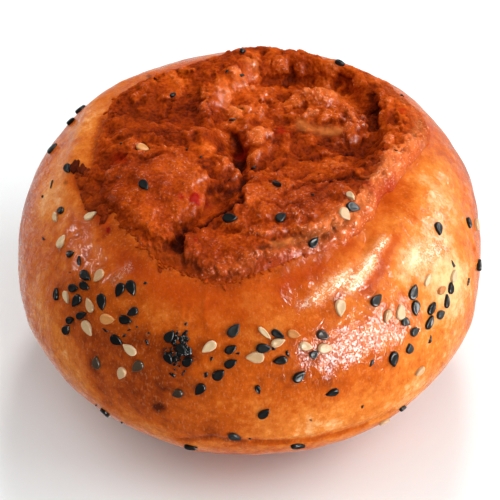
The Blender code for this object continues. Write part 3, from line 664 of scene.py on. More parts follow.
toppingDetail = {  # heights and sizes in millimetres
    "drift": ((1, (20, 30), 1.9), (0.5, (50, 60), 0.8)),  # share, layers of the noise and size
    "drifts": {"edge": 0.8, "fold": 0.5, "plate": 0.9, "lump": 1.5},  # how far the drift moves each of them
    "smoothReach": 2.5,
    "calm": {"plates": 0.85, "lip": 0.1, "least": 0.15},  # how much less granular the smooth places are
    "lumpWidth": 1.15,
    "lumpHeight": 0.65,
    "granuleMiddle": 0.35,  # the level that granules rise and fall about
    "granules": (0.8, 2.8),
    "unevenness": (0.35, 40, 2.4),  # height, layer of the noise and size
    "plateDrop": 0.3,
    "thinCalm": (0.5, 0.4),  # how much lower granules and fine granules are where the topping is thin
    "edgeFade": 1.3,
    "bedCover": (0.45, 1.5),  # the least height over the bed, and how far inside the edge it is full
    "bedFrom": 0.3,
    "fineGranules": (0.38, 50, 1.35),  # height, shift and size
    "fineShares": (0.35, 0.65),  # of the fine granules' height in smooth places, and what rough ones add
    "grit": (0.15, 90, 0.7),
    "dust": (0.06, 0.5),
    "fineFade": 0.35,
    "shade": {"fine": 1.2, "drawn": 0.4, "plates": -0.35, "middle": 0.15},  # painted light and shade: what lightens crests and slabs in the colour
    "edgeShade": (0.2, 1.2, 1.8, 30),  # where its tone starts and ends, how much further in front, half-width
}


def toppingRelief(x, y, azimuth, inside):
    relief = sum(height * rough(x, y, layer, size) for height, layer, size in topping["swells"])
    for height, centre, radii in topping["slabs"]:
        across = np.hypot((x - centre[0]) / radii[0], (y - centre[1]) / radii[1])
        relief += height * (1 - smoothStep(*topping["slabEdge"], across))
    plan = np.stack([x, y], axis=-1)
    for height, width, line in topping["lines"]:
        relief += height * bump(lineDistance(plan, line), 0, width)
    centre, width, inward, halfWidth, depth = topping["lipGroove"]
    relief -= depth * azimuthBump(azimuth, centre, width) * bump(inside, inward, halfWidth)
    return relief * smoothStep(*topping["swellReach"], inside)


def toppingHeight(x, y):
    # Height of the topping's upper surface without its fine detail
    azimuth = planAzimuth(x, y)
    radius = np.hypot(x, y)
    inside = np.maximum(edgeRadius(azimuth) - radius, 0)
    around = np.clip(radius / crust["radius"], 0, 1) ** crust["upperPower"]
    dome = crust["bellyHeight"] + crust["domeRise"] * (1 - around) ** (1 / crust["upperPower"])
    swells = (swell * azimuthBump(azimuth, centre, width) for centre, width, swell in topping["lipSwells"])
    proud = topping["lipRise"] + sum(swells)
    rounded = np.sqrt(1 - (1 - np.clip(inside / topping["lipWidth"], 0, 1)) ** 2)
    lost, near, far = topping["lipFall"]
    lip = proud * rounded * (1 - lost * smoothStep(near, far, inside))
    height = dome - hollow(x, y, *topping["well"]) + lip + toppingRelief(x, y, azimuth, inside)
    floor = crustUnder(x, y)[..., 2]
    return np.maximum(height, floor + topping["leastDepth"]), floor


def raggedEdge(azimuth):
    # The topping's edge with its small crumbs and tears
    x, y = planPoint(azimuth, topping["radius"])
    least, more = topping["tearing"]
    torn = azimuthBump(azimuth, *topping["tornSide"])
    coarse, fine = (rough(x, y, layer, size) for layer, size in topping["tears"])
    return edgeRadius(azimuth) + (least + more * torn) * coarse + more * torn * fine


def discGrid(cells):
    # A square grid bent into a disc: azimuth and share of each corner, evenly spread
    side = np.linspace(-1, 1, 2 * cells + 1)
    a, b = np.meshgrid(side, side, indexing="ij")
    share = np.maximum(np.abs(a), np.abs(b))
    wide = np.abs(a) >= np.abs(b)
    ratio = np.where(wide, b / np.where(a == 0, 1, a), a / np.where(b == 0, 1, b))
    turn = np.where(wide, 45 * ratio + np.where(a < 0, 180, 0), 90 - 45 * ratio + np.where(b < 0, 180, 0))
    return turn, share


def discFaces(side):
    faces = []
    for i in range(side - 1):
        for j in range(side - 1):
            a = i * side + j
            faces.append((a, a + side, a + side + 1, a + 1))
    return faces


def discRim(side):
    # Indices round the rim of the square grid
    last = side - 1
    rim = [i * side for i in range(last)] + [last * side + j for j in range(last)]
    rim += [i * side + last for i in range(last, 0, -1)] + [j for j in range(last, 0, -1)]
    return rim


def upNormals(grid):
    # Normals of a square grid, on its upper side
    normals = np.cross(np.gradient(grid, axis=0), np.gradient(grid, axis=1))
    normals *= np.sign(np.median(normals[..., 2]))
    return normals / np.maximum(np.linalg.norm(normals, axis=-1, keepdims=True), 1e-9)


def closeUnder(points, faces, turn):
    # Closes the topping with rings that run inwards in the crust's bed, where they are hidden
    rim = discRim(len(turn))
    count = len(rim)
    rimTurns = turn.ravel()[rim]
    layers = [points.reshape(-1, 3)]
    previous = rim
    down = np.array((0, 0, topping["underDepth"]))
    for share in topping["underShares"]:
        ring = crustUnder(*insideEdge(rimTurns, share)) - down
        fresh = [sum(map(len, layers)) + i for i in range(count)]
        layers.append(ring)
        for i in range(count):
            j = (i + 1) % count
            faces.append((previous[i], fresh[i], fresh[j], previous[j]))
        previous = fresh
    centre = crustUnder(*map(np.array, crust["wellCentre"])) - down
    layers.append(centre[None])
    middle = sum(map(len, layers)) - 1
    faces += [(previous[i], middle, previous[(i + 1) % count]) for i in range(count)]
    return np.concatenate(layers), faces


def makeTopping():
    turn, share = discGrid(topping["cells"])
    share = 1 - (1 - share) ** topping["edgePacking"]
    side = len(turn)
    centre = crust["wellCentre"]
    x, y = planPoint(turn, raggedEdge(turn))
    x, y = centre[0] + share * (x - centre[0]), centre[1] + share * (y - centre[1])
    azimuth = planAzimuth(x, y)
    inside = np.maximum(raggedEdge(azimuth) - np.hypot(x, y), 0)
    height, floor = toppingHeight(x, y)
    sunk = floor - topping["edgeSink"]
    softer, tongue, tongueWidth = topping["feather"]
    feather = 1 + softer * azimuthBump(azimuth, tongue, tongueWidth)
    rise = np.sqrt(1 - (1 - np.clip(inside / (topping["edgeWidth"] * feather), 0, 1)) ** 2)
    plain = np.stack([x, y, sunk + (height - sunk) * rise], axis=-1)
    faces = discFaces(side)
    plainTree = treeOf(plain.reshape(-1, 3), faces)

    detail, drifts = toppingDetail, toppingDetail["drifts"]
    plan = plain[..., :2]
    lip = azimuthBump(azimuth, *topping["lipSide"]) * bump(inside, *topping["lipBand"])
    drift = np.zeros(plan.shape)
    for part, layers, size in detail["drift"]:
        drift += part * np.stack([rough(x, y, layer, size) for layer in layers], axis=-1)
    torn = plan + drifts["plate"] * drift
    values = {key: np.zeros(x.shape) for key in ("cheese", "thin", "red", "paintedLightAndShade", "burnt")}
    for key, change, reach, pixels in toppingTones:
        line = [point[:2] for point in seenLine(plainTree, pixels)]
        values[key] += change * bump(lineDistance(torn, line), 0, reach)
    plates = np.zeros(x.shape)
    smooth = np.zeros(x.shape)
    for index, (height, soft, pixels) in enumerate(toppingPlates):
        within = shapeInside(torn, [point[:2] for point in seenLine(plainTree, pixels)])
        plates += height * smoothStep(-soft, soft, within)
        if index < smoothPlates:
            smooth = np.maximum(smooth, smoothStep(0, detail["smoothReach"], within))
    calm = detail["calm"]
    lumpy = np.clip(1 - calm["plates"] * smooth - calm["lip"] * lip, calm["least"], 1)
    solid = np.concatenate([torn, plain[..., 2:]], axis=-1)
    drawn = np.zeros(x.shape)
    wild = plan + drifts["lump"] * drift
    for height, width, pixels in toppingFolds:
        line = [point[:2] for point in seenLine(plainTree, pixels)]
        drawn += height * bump(lineDistance(plan + drifts["fold"] * drift, line), 0, width)
    for height, radius, pixel in toppingLumps:
        middle = seenPoint(plainTree, *pixel)[0]
        across = np.hypot(wild[..., 0] - middle.x, wild[..., 1] - middle.y) / (detail["lumpWidth"] * radius)
        drawn += detail["lumpHeight"] * height * np.sqrt(np.clip(1 - across * across, 0, 1))
    thin = np.clip(values["thin"], 0, 1)
    level = detail["granuleMiddle"]
    coarseCalm, fineCalm = detail["thinCalm"]
    height, size = detail["granules"]
    relief = height * (granules(solid, size) - level) * lumpy
    height, layer, size = detail["unevenness"]
    relief = relief + height * rough(x, y, layer, size) + drawn
    relief = plates - detail["plateDrop"] + relief * (1 - coarseCalm * thin)
    relief = relief * smoothStep(0, detail["edgeFade"], inside)
    points = plain + upNormals(plain) * relief[..., None]
    cover, reach = detail["bedCover"]
    bed = floor + cover * smoothStep(0, reach, inside)
    covered = np.maximum(points[..., 2], bed)
    points[..., 2] = np.where(inside > detail["bedFrom"], covered, points[..., 2])

    # Finer granules stand on the form so far, so that they keep their shape on steep faces
    height, shift, size = detail["fineGranules"]
    least, more = detail["fineShares"]
    fine = height * (granules(points + shift, size) - level) * (least + more * lumpy)
    height, shift, size = detail["grit"]
    fine += height * (granules(points + shift, size) - level)
    height, size = detail["dust"]
    fine += height * rough(*np.moveaxis(points, -1, 0), size)
    fine *= (1 - fineCalm * thin) * smoothStep(0, detail["fineFade"], inside)
    points = points + upNormals(points) * fine[..., None]
    # The colour's lightness follows the crests and hollows: painted light and shade
    shade = detail["shade"]
    crests = relief + shade["fine"] * fine + shade["drawn"] * drawn
    values["relief"] = crests + shade["plates"] * plates + shade["middle"]
    values["lip"] = lip
    near, far, further, width = detail["edgeShade"]
    far = far + further * azimuthBump(azimuth, 0, width)
    values["edge"] = 1 - smoothStep(near, far, inside + drifts["edge"] * drift[..., 0])

    points, faces = closeUnder(points, faces, turn)
    extra = len(points) - side * side
    values = {key: np.concatenate([value.ravel(), np.zeros(extra)]) for key, value in values.items()}
    obj = makeMesh("kimchiCheeseTopping", points, faces, values)
    return obj, plainTree, treeOf(points, faces)


seeds = {
    "size": (3.1, 1.95, 0.95),  # length, width and thickness of an average one
    "lifts": (0.2, 0.22),  # of a seed's middle above the crust and above the grains of the topping
    "drop": 3.5,  # how far the detailed surface may lie from the plain one
    "aheadPixels": 4,  # a seed's direction is taken from a point this far ahead
    "points": 20,
    "backCount": 30,
    "backSpacing": 4.5,
    "backTurn": -0.2,  # how far a back seed's face has to be turned from the camera
    "backAzimuths": (96, 262),
    "backAngles": (20, 13),  # middle and spread of the back seeds' profile angle
    "backLowest": -20,
    "backOut": 3.5,  # the least distance of a back seed from the topping's edge
    "backAhead": 2,  # degrees within which a back seed's direction is drawn
    "slopeStep": 1.5,  # degrees over which the slope of the crust is taken
    "tilts": (0.12, 0.1),  # radians that a seed rolls and nods at most
    "variety": (0.85, 1.1),  # least and greatest size against the average one
    "probe": 0.3,  # where the grains under a seed are felt, in shares of its length and width
    "steepest": 0.5,
    "randomSeeds": (23, 7),  # for the seeds that show, and for those behind
    "taper": 0.75,  # higher makes the tip sharper
    "fullness": 0.62,
    "wobble": 0.012,  # how uneven the outline is
    "skew": 0.06,
    "dent": (-0.12, 0.06),  # how sunken or full the middle of a seed's face is
    # Share of the outline and height of each ring from the top down, for a unit seed
    "rings": ((0.3, 0.43), (0.62, 0.47), (0.82, 0.5), (0.95, 0.33), (1.0, 0.0), (0.93, -0.35), (0.7, -0.5)),
}
# Column and row of the middle, direction of the tip in degrees from rightwards, length against an average
# seed, width against its usual share, and kind: b black, w white, t toasted, n brown, g grey
crustSeeds = (
    (81, 110, 60, 0.85, 1, "b"), (72, 122, 40, 0.8, 1, "b"), (53, 149, 50, 0.9, 0.9, "g"),
    (68, 169, -70, 0.9, 1, "b"), (61, 211, 200, 0.65, 1.2, "b"), (56, 217, 90, 0.75, 0.7, "w"),
    (91, 216, 30, 0.95, 0.75, "w"), (62, 242, 65, 0.95, 1, "w"), (71, 254, 30, 0.6, 1.2, "b"),
    (80, 261, 90, 0.7, 0.45, "b"), (86, 276, -40, 1.0, 1, "b"), (99, 276, -125, 0.95, 1, "w"),
    (74, 288, 0, 0.9, 1, "b"), (85, 286, -30, 0.85, 1, "b"), (57, 294, 85, 0.85, 0.8, "b"),
    (67, 297, -75, 0.85, 0.75, "w"), (77, 301, -120, 1.0, 1, "b"), (90, 305, 110, 1.0, 0.9, "w"),
    (102, 302, -85, 1.1, 0.95, "b"), (120, 290, -115, 1.0, 1, "b"), (132, 288, -70, 1.05, 1.05, "b"),
    (82, 315, 25, 0.95, 0.8, "b"), (71, 320, 15, 0.8, 0.95, "b"), (67, 329, 60, 0.85, 1.1, "b"),
    (88, 328, -65, 1.1, 1, "w"), (108, 319, -5, 1.1, 1, "t"), (126, 320, -15, 0.95, 1, "b"),
    (133, 312, -150, 0.85, 1, "b"), (117, 340, -30, 0.95, 1.1, "b"), (130, 349, 140, 1.05, 0.95, "w"),
    (97, 362, 95, 0.95, 1, "n"), (138, 366, -140, 1.05, 1, "n"), (122, 373, -110, 1.05, 0.95, "w"),
    (106, 412, -40, 0.95, 1, "b"),
    (170, 336, 50, 0.9, 1.1, "b"), (182, 349, -40, 0.8, 1.1, "b"), (169, 358, -60, 0.85, 1.1, "b"),
    (188, 361, 40, 0.85, 1.1, "b"), (178, 393, 200, 0.85, 1.1, "n"), (200, 389, -130, 1.0, 1, "b"),
    (209, 347, -145, 1.1, 0.9, "w"), (219, 374, 40, 0.95, 1.1, "b"), (231, 363, 25, 0.9, 1, "b"),
    (231, 349, 30, 0.85, 1, "b"), (234, 330, 50, 1.05, 1, "g"), (265, 333, -45, 1.1, 0.5, "w"),
    (278, 334, -25, 0.95, 0.8, "b"), (278, 342, 20, 0.95, 0.9, "w"), (264, 348, 0, 1.0, 1, "b"),
    (255, 357, 180, 1.2, 1, "w"), (294, 334, -10, 0.85, 1, "t"), (280, 360, 190, 0.95, 0.9, "b"),
    (258, 389, -70, 0.65, 0.9, "b"), (264, 413, 40, 0.95, 1, "b"), (235, 436, -20, 0.95, 1, "g"),
    (191, 446, -10, 0.9, 0.8, "b"), (298, 445, 0, 1.1, 0.8, "b"),
    (306, 346, -15, 0.9, 1, "w"), (325, 348, 0, 1.05, 1, "w"), (323, 335, -25, 0.9, 1.1, "n"),
    (314, 354, 40, 0.6, 1.4, "g"), (299, 376, 40, 1.0, 1, "b"), (332, 392, 200, 0.9, 0.9, "b"),
    (340, 308, -90, 1.1, 1, "w"), (376, 300, 50, 1.0, 1, "b"), (387, 316, -115, 0.9, 1, "w"),
    (400, 312, 90, 1.0, 1, "w"), (413, 292, 75, 1.05, 1, "b"), (415, 308, -90, 1.0, 1, "b"),
    (405, 322, -30, 0.75, 1.2, "g"), (414, 331, 40, 0.75, 1.2, "g"), (409, 348, 90, 0.75, 1.2, "g"),
    (393, 359, -90, 1.15, 1, "b"), (419, 371, 215, 0.9, 0.95, "w"), (431, 308, 65, 0.95, 0.95, "b"),
    (429, 322, 70, 1.0, 0.9, "b"), (440, 314, 45, 0.75, 1.2, "g"), (446, 301, 90, 0.95, 0.65, "b"),
    (450, 288, 90, 0.8, 1, "b"), (441, 290, 45, 0.8, 0.9, "t"), (427, 280, 70, 0.95, 0.6, "w"),
    (453, 276, 80, 0.9, 0.9, "w"), (438, 229, -80, 0.9, 1.1, "b"), (468, 223, -80, 0.75, 1.2, "b"),
    (476, 224, 90, 1.0, 1, "w"), (478, 265, 90, 0.8, 1, "b"), (402, 407, 30, 0.7, 0.8, "b"),
    (384, 421, 30, 0.8, 1, "w"),
)
toppingSeeds = (
    (143, 148, -15, 0.9, 1, "t"), (144, 185, -50, 0.85, 1.1, "b"), (230, 218, 0, 1.0, 1, "b"),
    (281, 217, 30, 0.8, 1.2, "b"), (314, 242, 50, 0.85, 1, "b"), (351, 196, -45, 1.1, 0.6, "w"),
    (353, 207, -25, 1.0, 1, "b"), (345, 214, -50, 1.0, 1.1, "w"), (277, 184, -25, 0.95, 0.5, "b"),
    (173, 95, 20, 0.5, 0.8, "b"), (243, 51, 0, 0.55, 1, "b"), (340, 63, -20, 0.7, 0.7, "b"),
)


def turnTo(place, ahead, normal):
    # Rotation that lays a seed on a surface with its tip towards the point ahead
    along = ahead - place
    side = normal.cross(along).normalized()
    return Matrix((side.cross(normal), side, normal)).transposed()


def pixelAhead(column, row, direction):
    turn = math.radians(direction)
    reach = seeds["aheadPixels"]
    return column + reach * math.cos(turn), row - reach * math.sin(turn)


def onSurface(plain, fine, column, row, direction):
    # Where a seed lies: its point on the detailed surface and its rotation on the plain one
    place, normal = seenPoint(plain, column, row)
    ahead, _ = seenPoint(plain, *pixelAhead(column, row, direction))
    seat, _ = seenPoint(fine, column, row)
    return (seat if (seat - place).length < seeds["drop"] else place), turnTo(place, ahead, normal)


def overGrains(fine, column, row, place, turn, size):
    # The place on the same sight line where a seed rests on the grains under it
    heights = []
    steps = (-seeds["probe"], 0, seeds["probe"])
    for along in steps:
        for aside in steps:
            above = place + turn @ Vector((along * size[0], aside * size[1], seeds["drop"]))
            point = fine.ray_cast(above, -turn.col[2])[0]
            heights.append((point - place).dot(turn.col[2]) if point else 0)
    rise = max(0, sorted(heights)[-3]) + seeds["lifts"][1]  # three points carry it
    look = sightLine(column, row)[1]
    return place - look * (rise / max(seeds["steepest"], -look.dot(turn.col[2])))


def backSeedPlaces():
    # The unseen side carries the same loose band of seeds, kept apart from each other
    draw = random.Random(seeds["randomSeeds"][1])
    eye = sightLine(*view["centrePixel"])[0]
    near, step = seeds["backAhead"], seeds["slopeStep"]
    places = []
    while len(places) < seeds["backCount"]:
        azimuth = draw.uniform(*seeds["backAzimuths"])
        angle = draw.gauss(*seeds["backAngles"])
        highest = domeAngle(edgeRadius(np.array(azimuth)) + seeds["backOut"])
        if not seeds["backLowest"] < angle < highest:
            continue
        ahead = (azimuth + draw.uniform(-near, near), angle + draw.uniform(-near, near))
        place = Vector(crustPoint(azimuth, angle))
        east = Vector(crustPoint(azimuth + step, angle)) - Vector(crustPoint(azimuth - step, angle))
        north = Vector(crustPoint(azimuth, angle + step)) - Vector(crustPoint(azimuth, angle - step))
        normal = east.cross(north).normalized()
        if normal.dot((eye - place).normalized()) > seeds["backTurn"]:
            continue
        turn = turnTo(place, Vector(crustPoint(*ahead)), normal)
        if all((place - other).length > seeds["backSpacing"] for other, _, _ in places):
            places.append((place, turn, draw.uniform(*seeds["variety"])))
    return places


def seedShape(draw):
    # One teardrop seed with its tip towards +X, of unit length, width and thickness, with a little unevenness
    count = seeds["points"]
    turn = np.arange(count) * 2 * math.pi / count
    width = np.sin(turn) * np.abs(np.sin(turn / 2)) ** seeds["taper"]
    outline = np.stack([np.cos(turn) * 0.5, width * seeds["fullness"]], axis=-1)
    wobble = seeds["wobble"]
    outline += np.array([[draw.uniform(-wobble, wobble) for _ in range(2)] for _ in range(count)])
    skew = draw.uniform(-seeds["skew"], seeds["skew"])
    outline[:, 1] += skew * (outline[:, 0] ** 2)
    rings = seeds["rings"]
    dent = draw.uniform(*seeds["dent"])
    points = [(0, 0, 0.4 + dent)]
    for share, height in rings:
        droop = height + (dent * (1 - share) if height > 0 else 0)
        points += [(px * share, py * share, droop * (1 - 0.25 * max(px, 0))) for px, py in outline]
    points.append((0, 0, -0.5))
    faces = [(0, 1 + i, 1 + (i + 1) % count) for i in range(count)]
    for ring in range(len(rings) - 1):
        a, b = 1 + ring * count, 1 + (ring + 1) * count
        for i in range(count):
            j = (i + 1) % count
            faces.append((a + i, b + i, b + j, a + j))
    a = 1 + (len(rings) - 1) * count
    last = len(points) - 1
    faces += [(a + (i + 1) % count, a + i, last) for i in range(count)]
    return np.array(points), faces


crumb = {
    "corners": (5, 6, 7),
    "radii": (0.35, 0.5),
    "topShare": 0.8,  # its top is smaller than its base
    "topHeights": (0.2, 0.5),
    "widen": 1.15,  # its corners fall short of the size in the table
    "thickness": 0.45,
    "lift": 0.1,
}


def crumbShape(draw):
    # A broken bit of seed: a small uneven prism
    count = draw.choice(crumb["corners"])
    turns = sorted(draw.uniform(0, 2 * math.pi) for _ in range(count))
    rim = []
    for turn in turns:
        across, along = draw.uniform(*crumb["radii"]), draw.uniform(*crumb["radii"])
        rim.append((math.cos(turn) * across, math.sin(turn) * along))
    lower = [(px, py, -0.5) for px, py in rim]
    share = crumb["topShare"]
    upper = [(px * share, py * share, draw.uniform(*crumb["topHeights"])) for px, py in rim]
    faces = [tuple(range(count))[::-1], tuple(range(count, 2 * count))]
    faces += [(i, (i + 1) % count, count + (i + 1) % count, count + i) for i in range(count)]
    return np.array(lower + upper), faces


lump = {"swells": ((1, 3), (0.6, 8)), "swell": 0.5}  # share and fineness of the unevenness, and its height


def lumpShape(draw):
    # A small rounded lump, uneven all round
    bm = bmesh.new()
    bmesh.ops.create_icosphere(bm, subdivisions=3, radius=0.5)
    shift = Vector((draw.uniform(0, 90), 0, 0))
    points = []
    for vert in bm.verts:
        swell = sum(share * noise.noise(vert.co * fineness + shift) for share, fineness in lump["swells"])
        points.append(vert.co * (1 + lump["swell"] * swell))
    faces = [tuple(vert.index for vert in face.verts) for face in bm.faces]
    bm.free()
    return np.array(points), faces


def placeShape(shape, place, turn, size, lift):
    points, faces = shape
    matrix = np.array(turn)
    middle = np.array(place + turn.col[2] * lift)
    return (points * size) @ matrix.T + middle, faces


def joinShapes(name, shapes, draw):
    # One object from many small shapes, each with its own tone
    points, faces, tones = [], [], []
    for shapePoints, shapeFaces in shapes:
        start = len(points)
        points += shapePoints.tolist()
        faces += [tuple(start + i for i in face) for face in shapeFaces]
        tones += [draw.random()] * len(shapePoints)
    return makeMesh(name, points, faces, {"tone": tones})


crumbs = (  # column, row, direction, length and width in pixels, and kind
    (103, 213, -25, 9, 5, "b"), (145, 283, 0, 5, 3, "b"), (106, 330, -25, 9, 3, "b"),
    (147, 342, -65, 7, 3, "b"), (172, 375, -20, 8, 5, "b"), (206, 374, 80, 9, 4, "b"),
    (212, 360, -80, 9, 4, "b"), (275, 348, 20, 7, 4, "b"), (288, 354, -70, 10, 4, "b"),
    (371, 363, 60, 9, 5, "g"), (430, 339, 80, 9, 8, "g"), (361, 407, 40, 6, 3, "b"),
    (310, 421, 70, 7, 4, "b"), (52, 184, 75, 11, 3, "g"), (43, 197, 80, 5, 2, "b"),
    (44, 239, -60, 8, 3, "g"), (468, 282, 80, 9, 4, "b"), (453, 263, -75, 10, 4, "b"),
    (250, 438, 0, 3, 2, "b"), (124, 336, 35, 7, 3, "b"), (129, 330, 25, 5, 2, "b"),
    (149, 333, 0, 3, 2, "b"), (137, 327, 0, 3, 2, "b"), (162, 322, 0, 3, 2, "b"), (238, 354, 10, 6, 3, "b"),
    (96, 405, 30, 6, 3, "b"), (122, 422, 20, 4, 3, "b"), (55, 291, 60, 5, 3, "b"), (70, 272, 0, 3, 2, "b"),
)
toppingCrumbs = (
    (241, 75, 0, 10, 4, "b"), (254, 168, 30, 9, 2, "b"), (187, 150, 0, 3, 3, "b"), (201, 157, 0, 3, 2, "b"),
    (232, 120, 10, 7, 3, "g"), (121, 144, 0, 3, 3, "b"), (120, 269, 20, 5, 2, "b"),
    (312, 195, 0, 5, 2, "b"), (396, 151, -30, 5, 2, "b"), (227, 71, 40, 5, 3, "b"), (270, 262, 0, 3, 2, "b"),
    (257, 259, 0, 2, 2, "b"), (229, 180, 60, 3, 2, "b"), (336, 62, -10, 9, 5, "b"), (404, 91, -40, 7, 4, "b"),
    (420, 123, -10, 7, 5, "w"),
)
crushed = {  # the cluster of crushed black seed in front, by the pixels of its left, right, top and bottom
    "region": (163, 196, 328, 370),
    "spread": 0.2,
    "count": 110,
    "reach": (3, 9),  # lengths in pixels
    "widths": (0.4, 0.9),  # shares of the length
    "thickness": 0.4,
    "lift": 0.08,
}
scraps = {
    "count": 120,
    "reach": (0.3, 1.2),
    "shrink": (0.5, 1),
    "shape": (1.4, 0.5),  # length and thickness against the reach
    "spread": 0.5,
    "inward": 0.5,  # how far under the edge the nearest ones lie
    "azimuths": ((-80, 25), (-80, 25), (-130, 30)),  # each scrap falls in one of these
    "randomSeed": 5,
    "spillThickness": 1.0,
    "lift": 0.1,
}
spill = (  # column, row, length and width in pixels, and how burnt, of the lumps that ran out over the crust
    (75, 167, 14, 9, 0.9), (82, 171, 14, 9, 0.8), (88, 174, 12, 9, 0.5), (84, 182, 17, 12, 0.35),
    (92, 189, 18, 14, 0.3), (87, 196, 17, 12, 0.4), (98, 199, 17, 13, 0.3), (94, 206, 18, 12, 0.5),
    (102, 211, 15, 11, 0.3), (79, 177, 10, 7, 0.5), (104, 219, 10, 7, 0.5), (90, 202, 14, 10, 0.2),
)


def makeScraps(plainTree, crustTree):
    # Scraps that broke off round the topping's edge, most of them on the left and in front
    draw = random.Random(scraps["randomSeed"])
    shapes = []
    for _ in range(scraps["count"]):
        azimuth = draw.choice([draw.uniform(*reach) for reach in scraps["azimuths"]])
        out = abs(draw.gauss(0, scraps["spread"])) - scraps["inward"]
        x, y = planPoint(azimuth, float(raggedEdge(np.array(azimuth))) + out)
        above = Vector((x, y, 3 * view["aimHeight"]))
        place, normal = crustTree.ray_cast(above, Vector((0, 0, -1)))[:2]
        ahead = place + Vector((draw.uniform(-1, 1), draw.uniform(-1, 1), 0))
        reach = draw.uniform(*scraps["reach"]) * draw.uniform(*scraps["shrink"])
        long, flat = scraps["shape"]
        size = (reach * long, reach * draw.uniform(*scraps["shrink"]), reach * flat)
        turn = turnTo(place, ahead, normal)
        shapes.append(placeShape(lumpShape(draw), place, turn, size, scraps["lift"] * reach))
    for column, row, long, wide, _ in spill:
        place, turn = onSurface(plainTree, crustTree, column, row, draw.uniform(0, 360))
        size = (long * pixelSize, wide * pixelSize, scraps["spillThickness"])
        shapes.append(placeShape(lumpShape(draw), place, turn, size, scraps["lift"]))
    obj = joinShapes("kimchiScraps", shapes, draw)
    burnt = [0] * scraps["count"] + [row[-1] for row in spill]
    burnt = np.repeat(burnt, [len(points) for points, _ in shapes])
    attribute = obj.data.attributes.new("burnt", "FLOAT", "POINT")
    attribute.data.foreach_set("value", burnt.astype(np.float32))
    return obj


def makeSeeds(crustTrees, toppingTrees):
    draw = random.Random(seeds["randomSeeds"][0])
    shapes = {"b": [], "w": [], "t": [], "n": [], "g": []}
    length, width, thick = seeds["size"]
    roll, nod = seeds["tilts"]
    for trees, table in ((crustTrees, crustSeeds), (toppingTrees, toppingSeeds)):
        for column, row, direction, long, wide, kind in table:
            place, turn = onSurface(*trees, column, row, direction)
            tilt = Matrix.Rotation(draw.uniform(-roll, roll), 3, "X")
            tilt = tilt @ Matrix.Rotation(draw.uniform(-nod, nod), 3, "Y")
            size = (length * long, width * long * wide, thick * draw.uniform(*seeds["variety"]))
            lift = seeds["lifts"][0]
            if table is toppingSeeds:
                place, lift = overGrains(trees[1], column, row, place, turn, size), 0
            shapes[kind].append(placeShape(seedShape(draw), place, turn @ tilt, size, lift))
    for place, turn, long in backSeedPlaces():
        kind = draw.choice("bbbbwwn")
        size = (length * long, width * long * draw.uniform(*seeds["variety"]), thick)
        shapes[kind].append(placeShape(seedShape(draw), place, turn, size, seeds["lifts"][0]))
    for trees, table in ((crustTrees, crumbs), (toppingTrees, toppingCrumbs)):
        for column, row, direction, long, wide, kind in table:
            place, turn = onSurface(*trees, column, row, direction)
            widen = pixelSize * crumb["widen"]
            size = (long * widen, wide * widen, crumb["thickness"])
            shapes[kind].append(placeShape(crumbShape(draw), place, turn, size, crumb["lift"]))
    left, right, top, bottom = crushed["region"]
    for _ in range(crushed["count"]):
        column, row = (draw.gauss(0.5, crushed["spread"]) for _ in range(2))
        column, row = left + column * (right - left), top + row * (bottom - top)
        place, turn = onSurface(*crustTrees, column, row, draw.uniform(0, 360))
        reach = draw.uniform(*crushed["reach"]) * pixelSize
        size = (reach, reach * draw.uniform(*crushed["widths"]), crushed["thickness"])
        shapes["b"].append(placeShape(crumbShape(draw), place, turn, size, crushed["lift"]))
    names = {"b": "blackSesame", "w": "whiteSesame", "t": "toastedSesame", "n": "brownSesame",
             "g": "greySesame"}
    return {kind: joinShapes(names[kind], shapes[kind], draw) for kind in shapes}


def addNode(tree, kind, settings=None, inputs=None):
    # Adds a node, sets its own settings, and gives each input a value or a link
    node = tree.nodes.new(kind)
    for name, value in (settings or {}).items():
        setattr(node, name, value)
    for name, value in (inputs or {}).items():
        if isinstance(value, bpy.types.NodeSocket):
            tree.links.new(value, node.inputs[name])
        else:
            node.inputs[name].default_value = value
    return node


def setRamp(node, stops):
    # Stops are a position and an sRGB hex colour
    elements = node.color_ramp.elements
    while len(elements) < len(stops):
        elements.new(1)
    for element, (position, colour) in zip(elements, stops):
        element.position = position
        element.color = toLinear(colour)
    return node.outputs["Color"]


def newMaterial(name, constants):
    material = bpy.data.materials.new(name)
    material.use_nodes = True
    shader = material.node_tree.nodes["Principled BSDF"]
    for socket, value in constants.items():
        shader.inputs[socket].default_value = value
    return material, material.node_tree, shader


def scaleFor(size):
    # Texture scale that gives features of a size in millimetres, where coordinates are in metres
    return 1 / (size * mm)


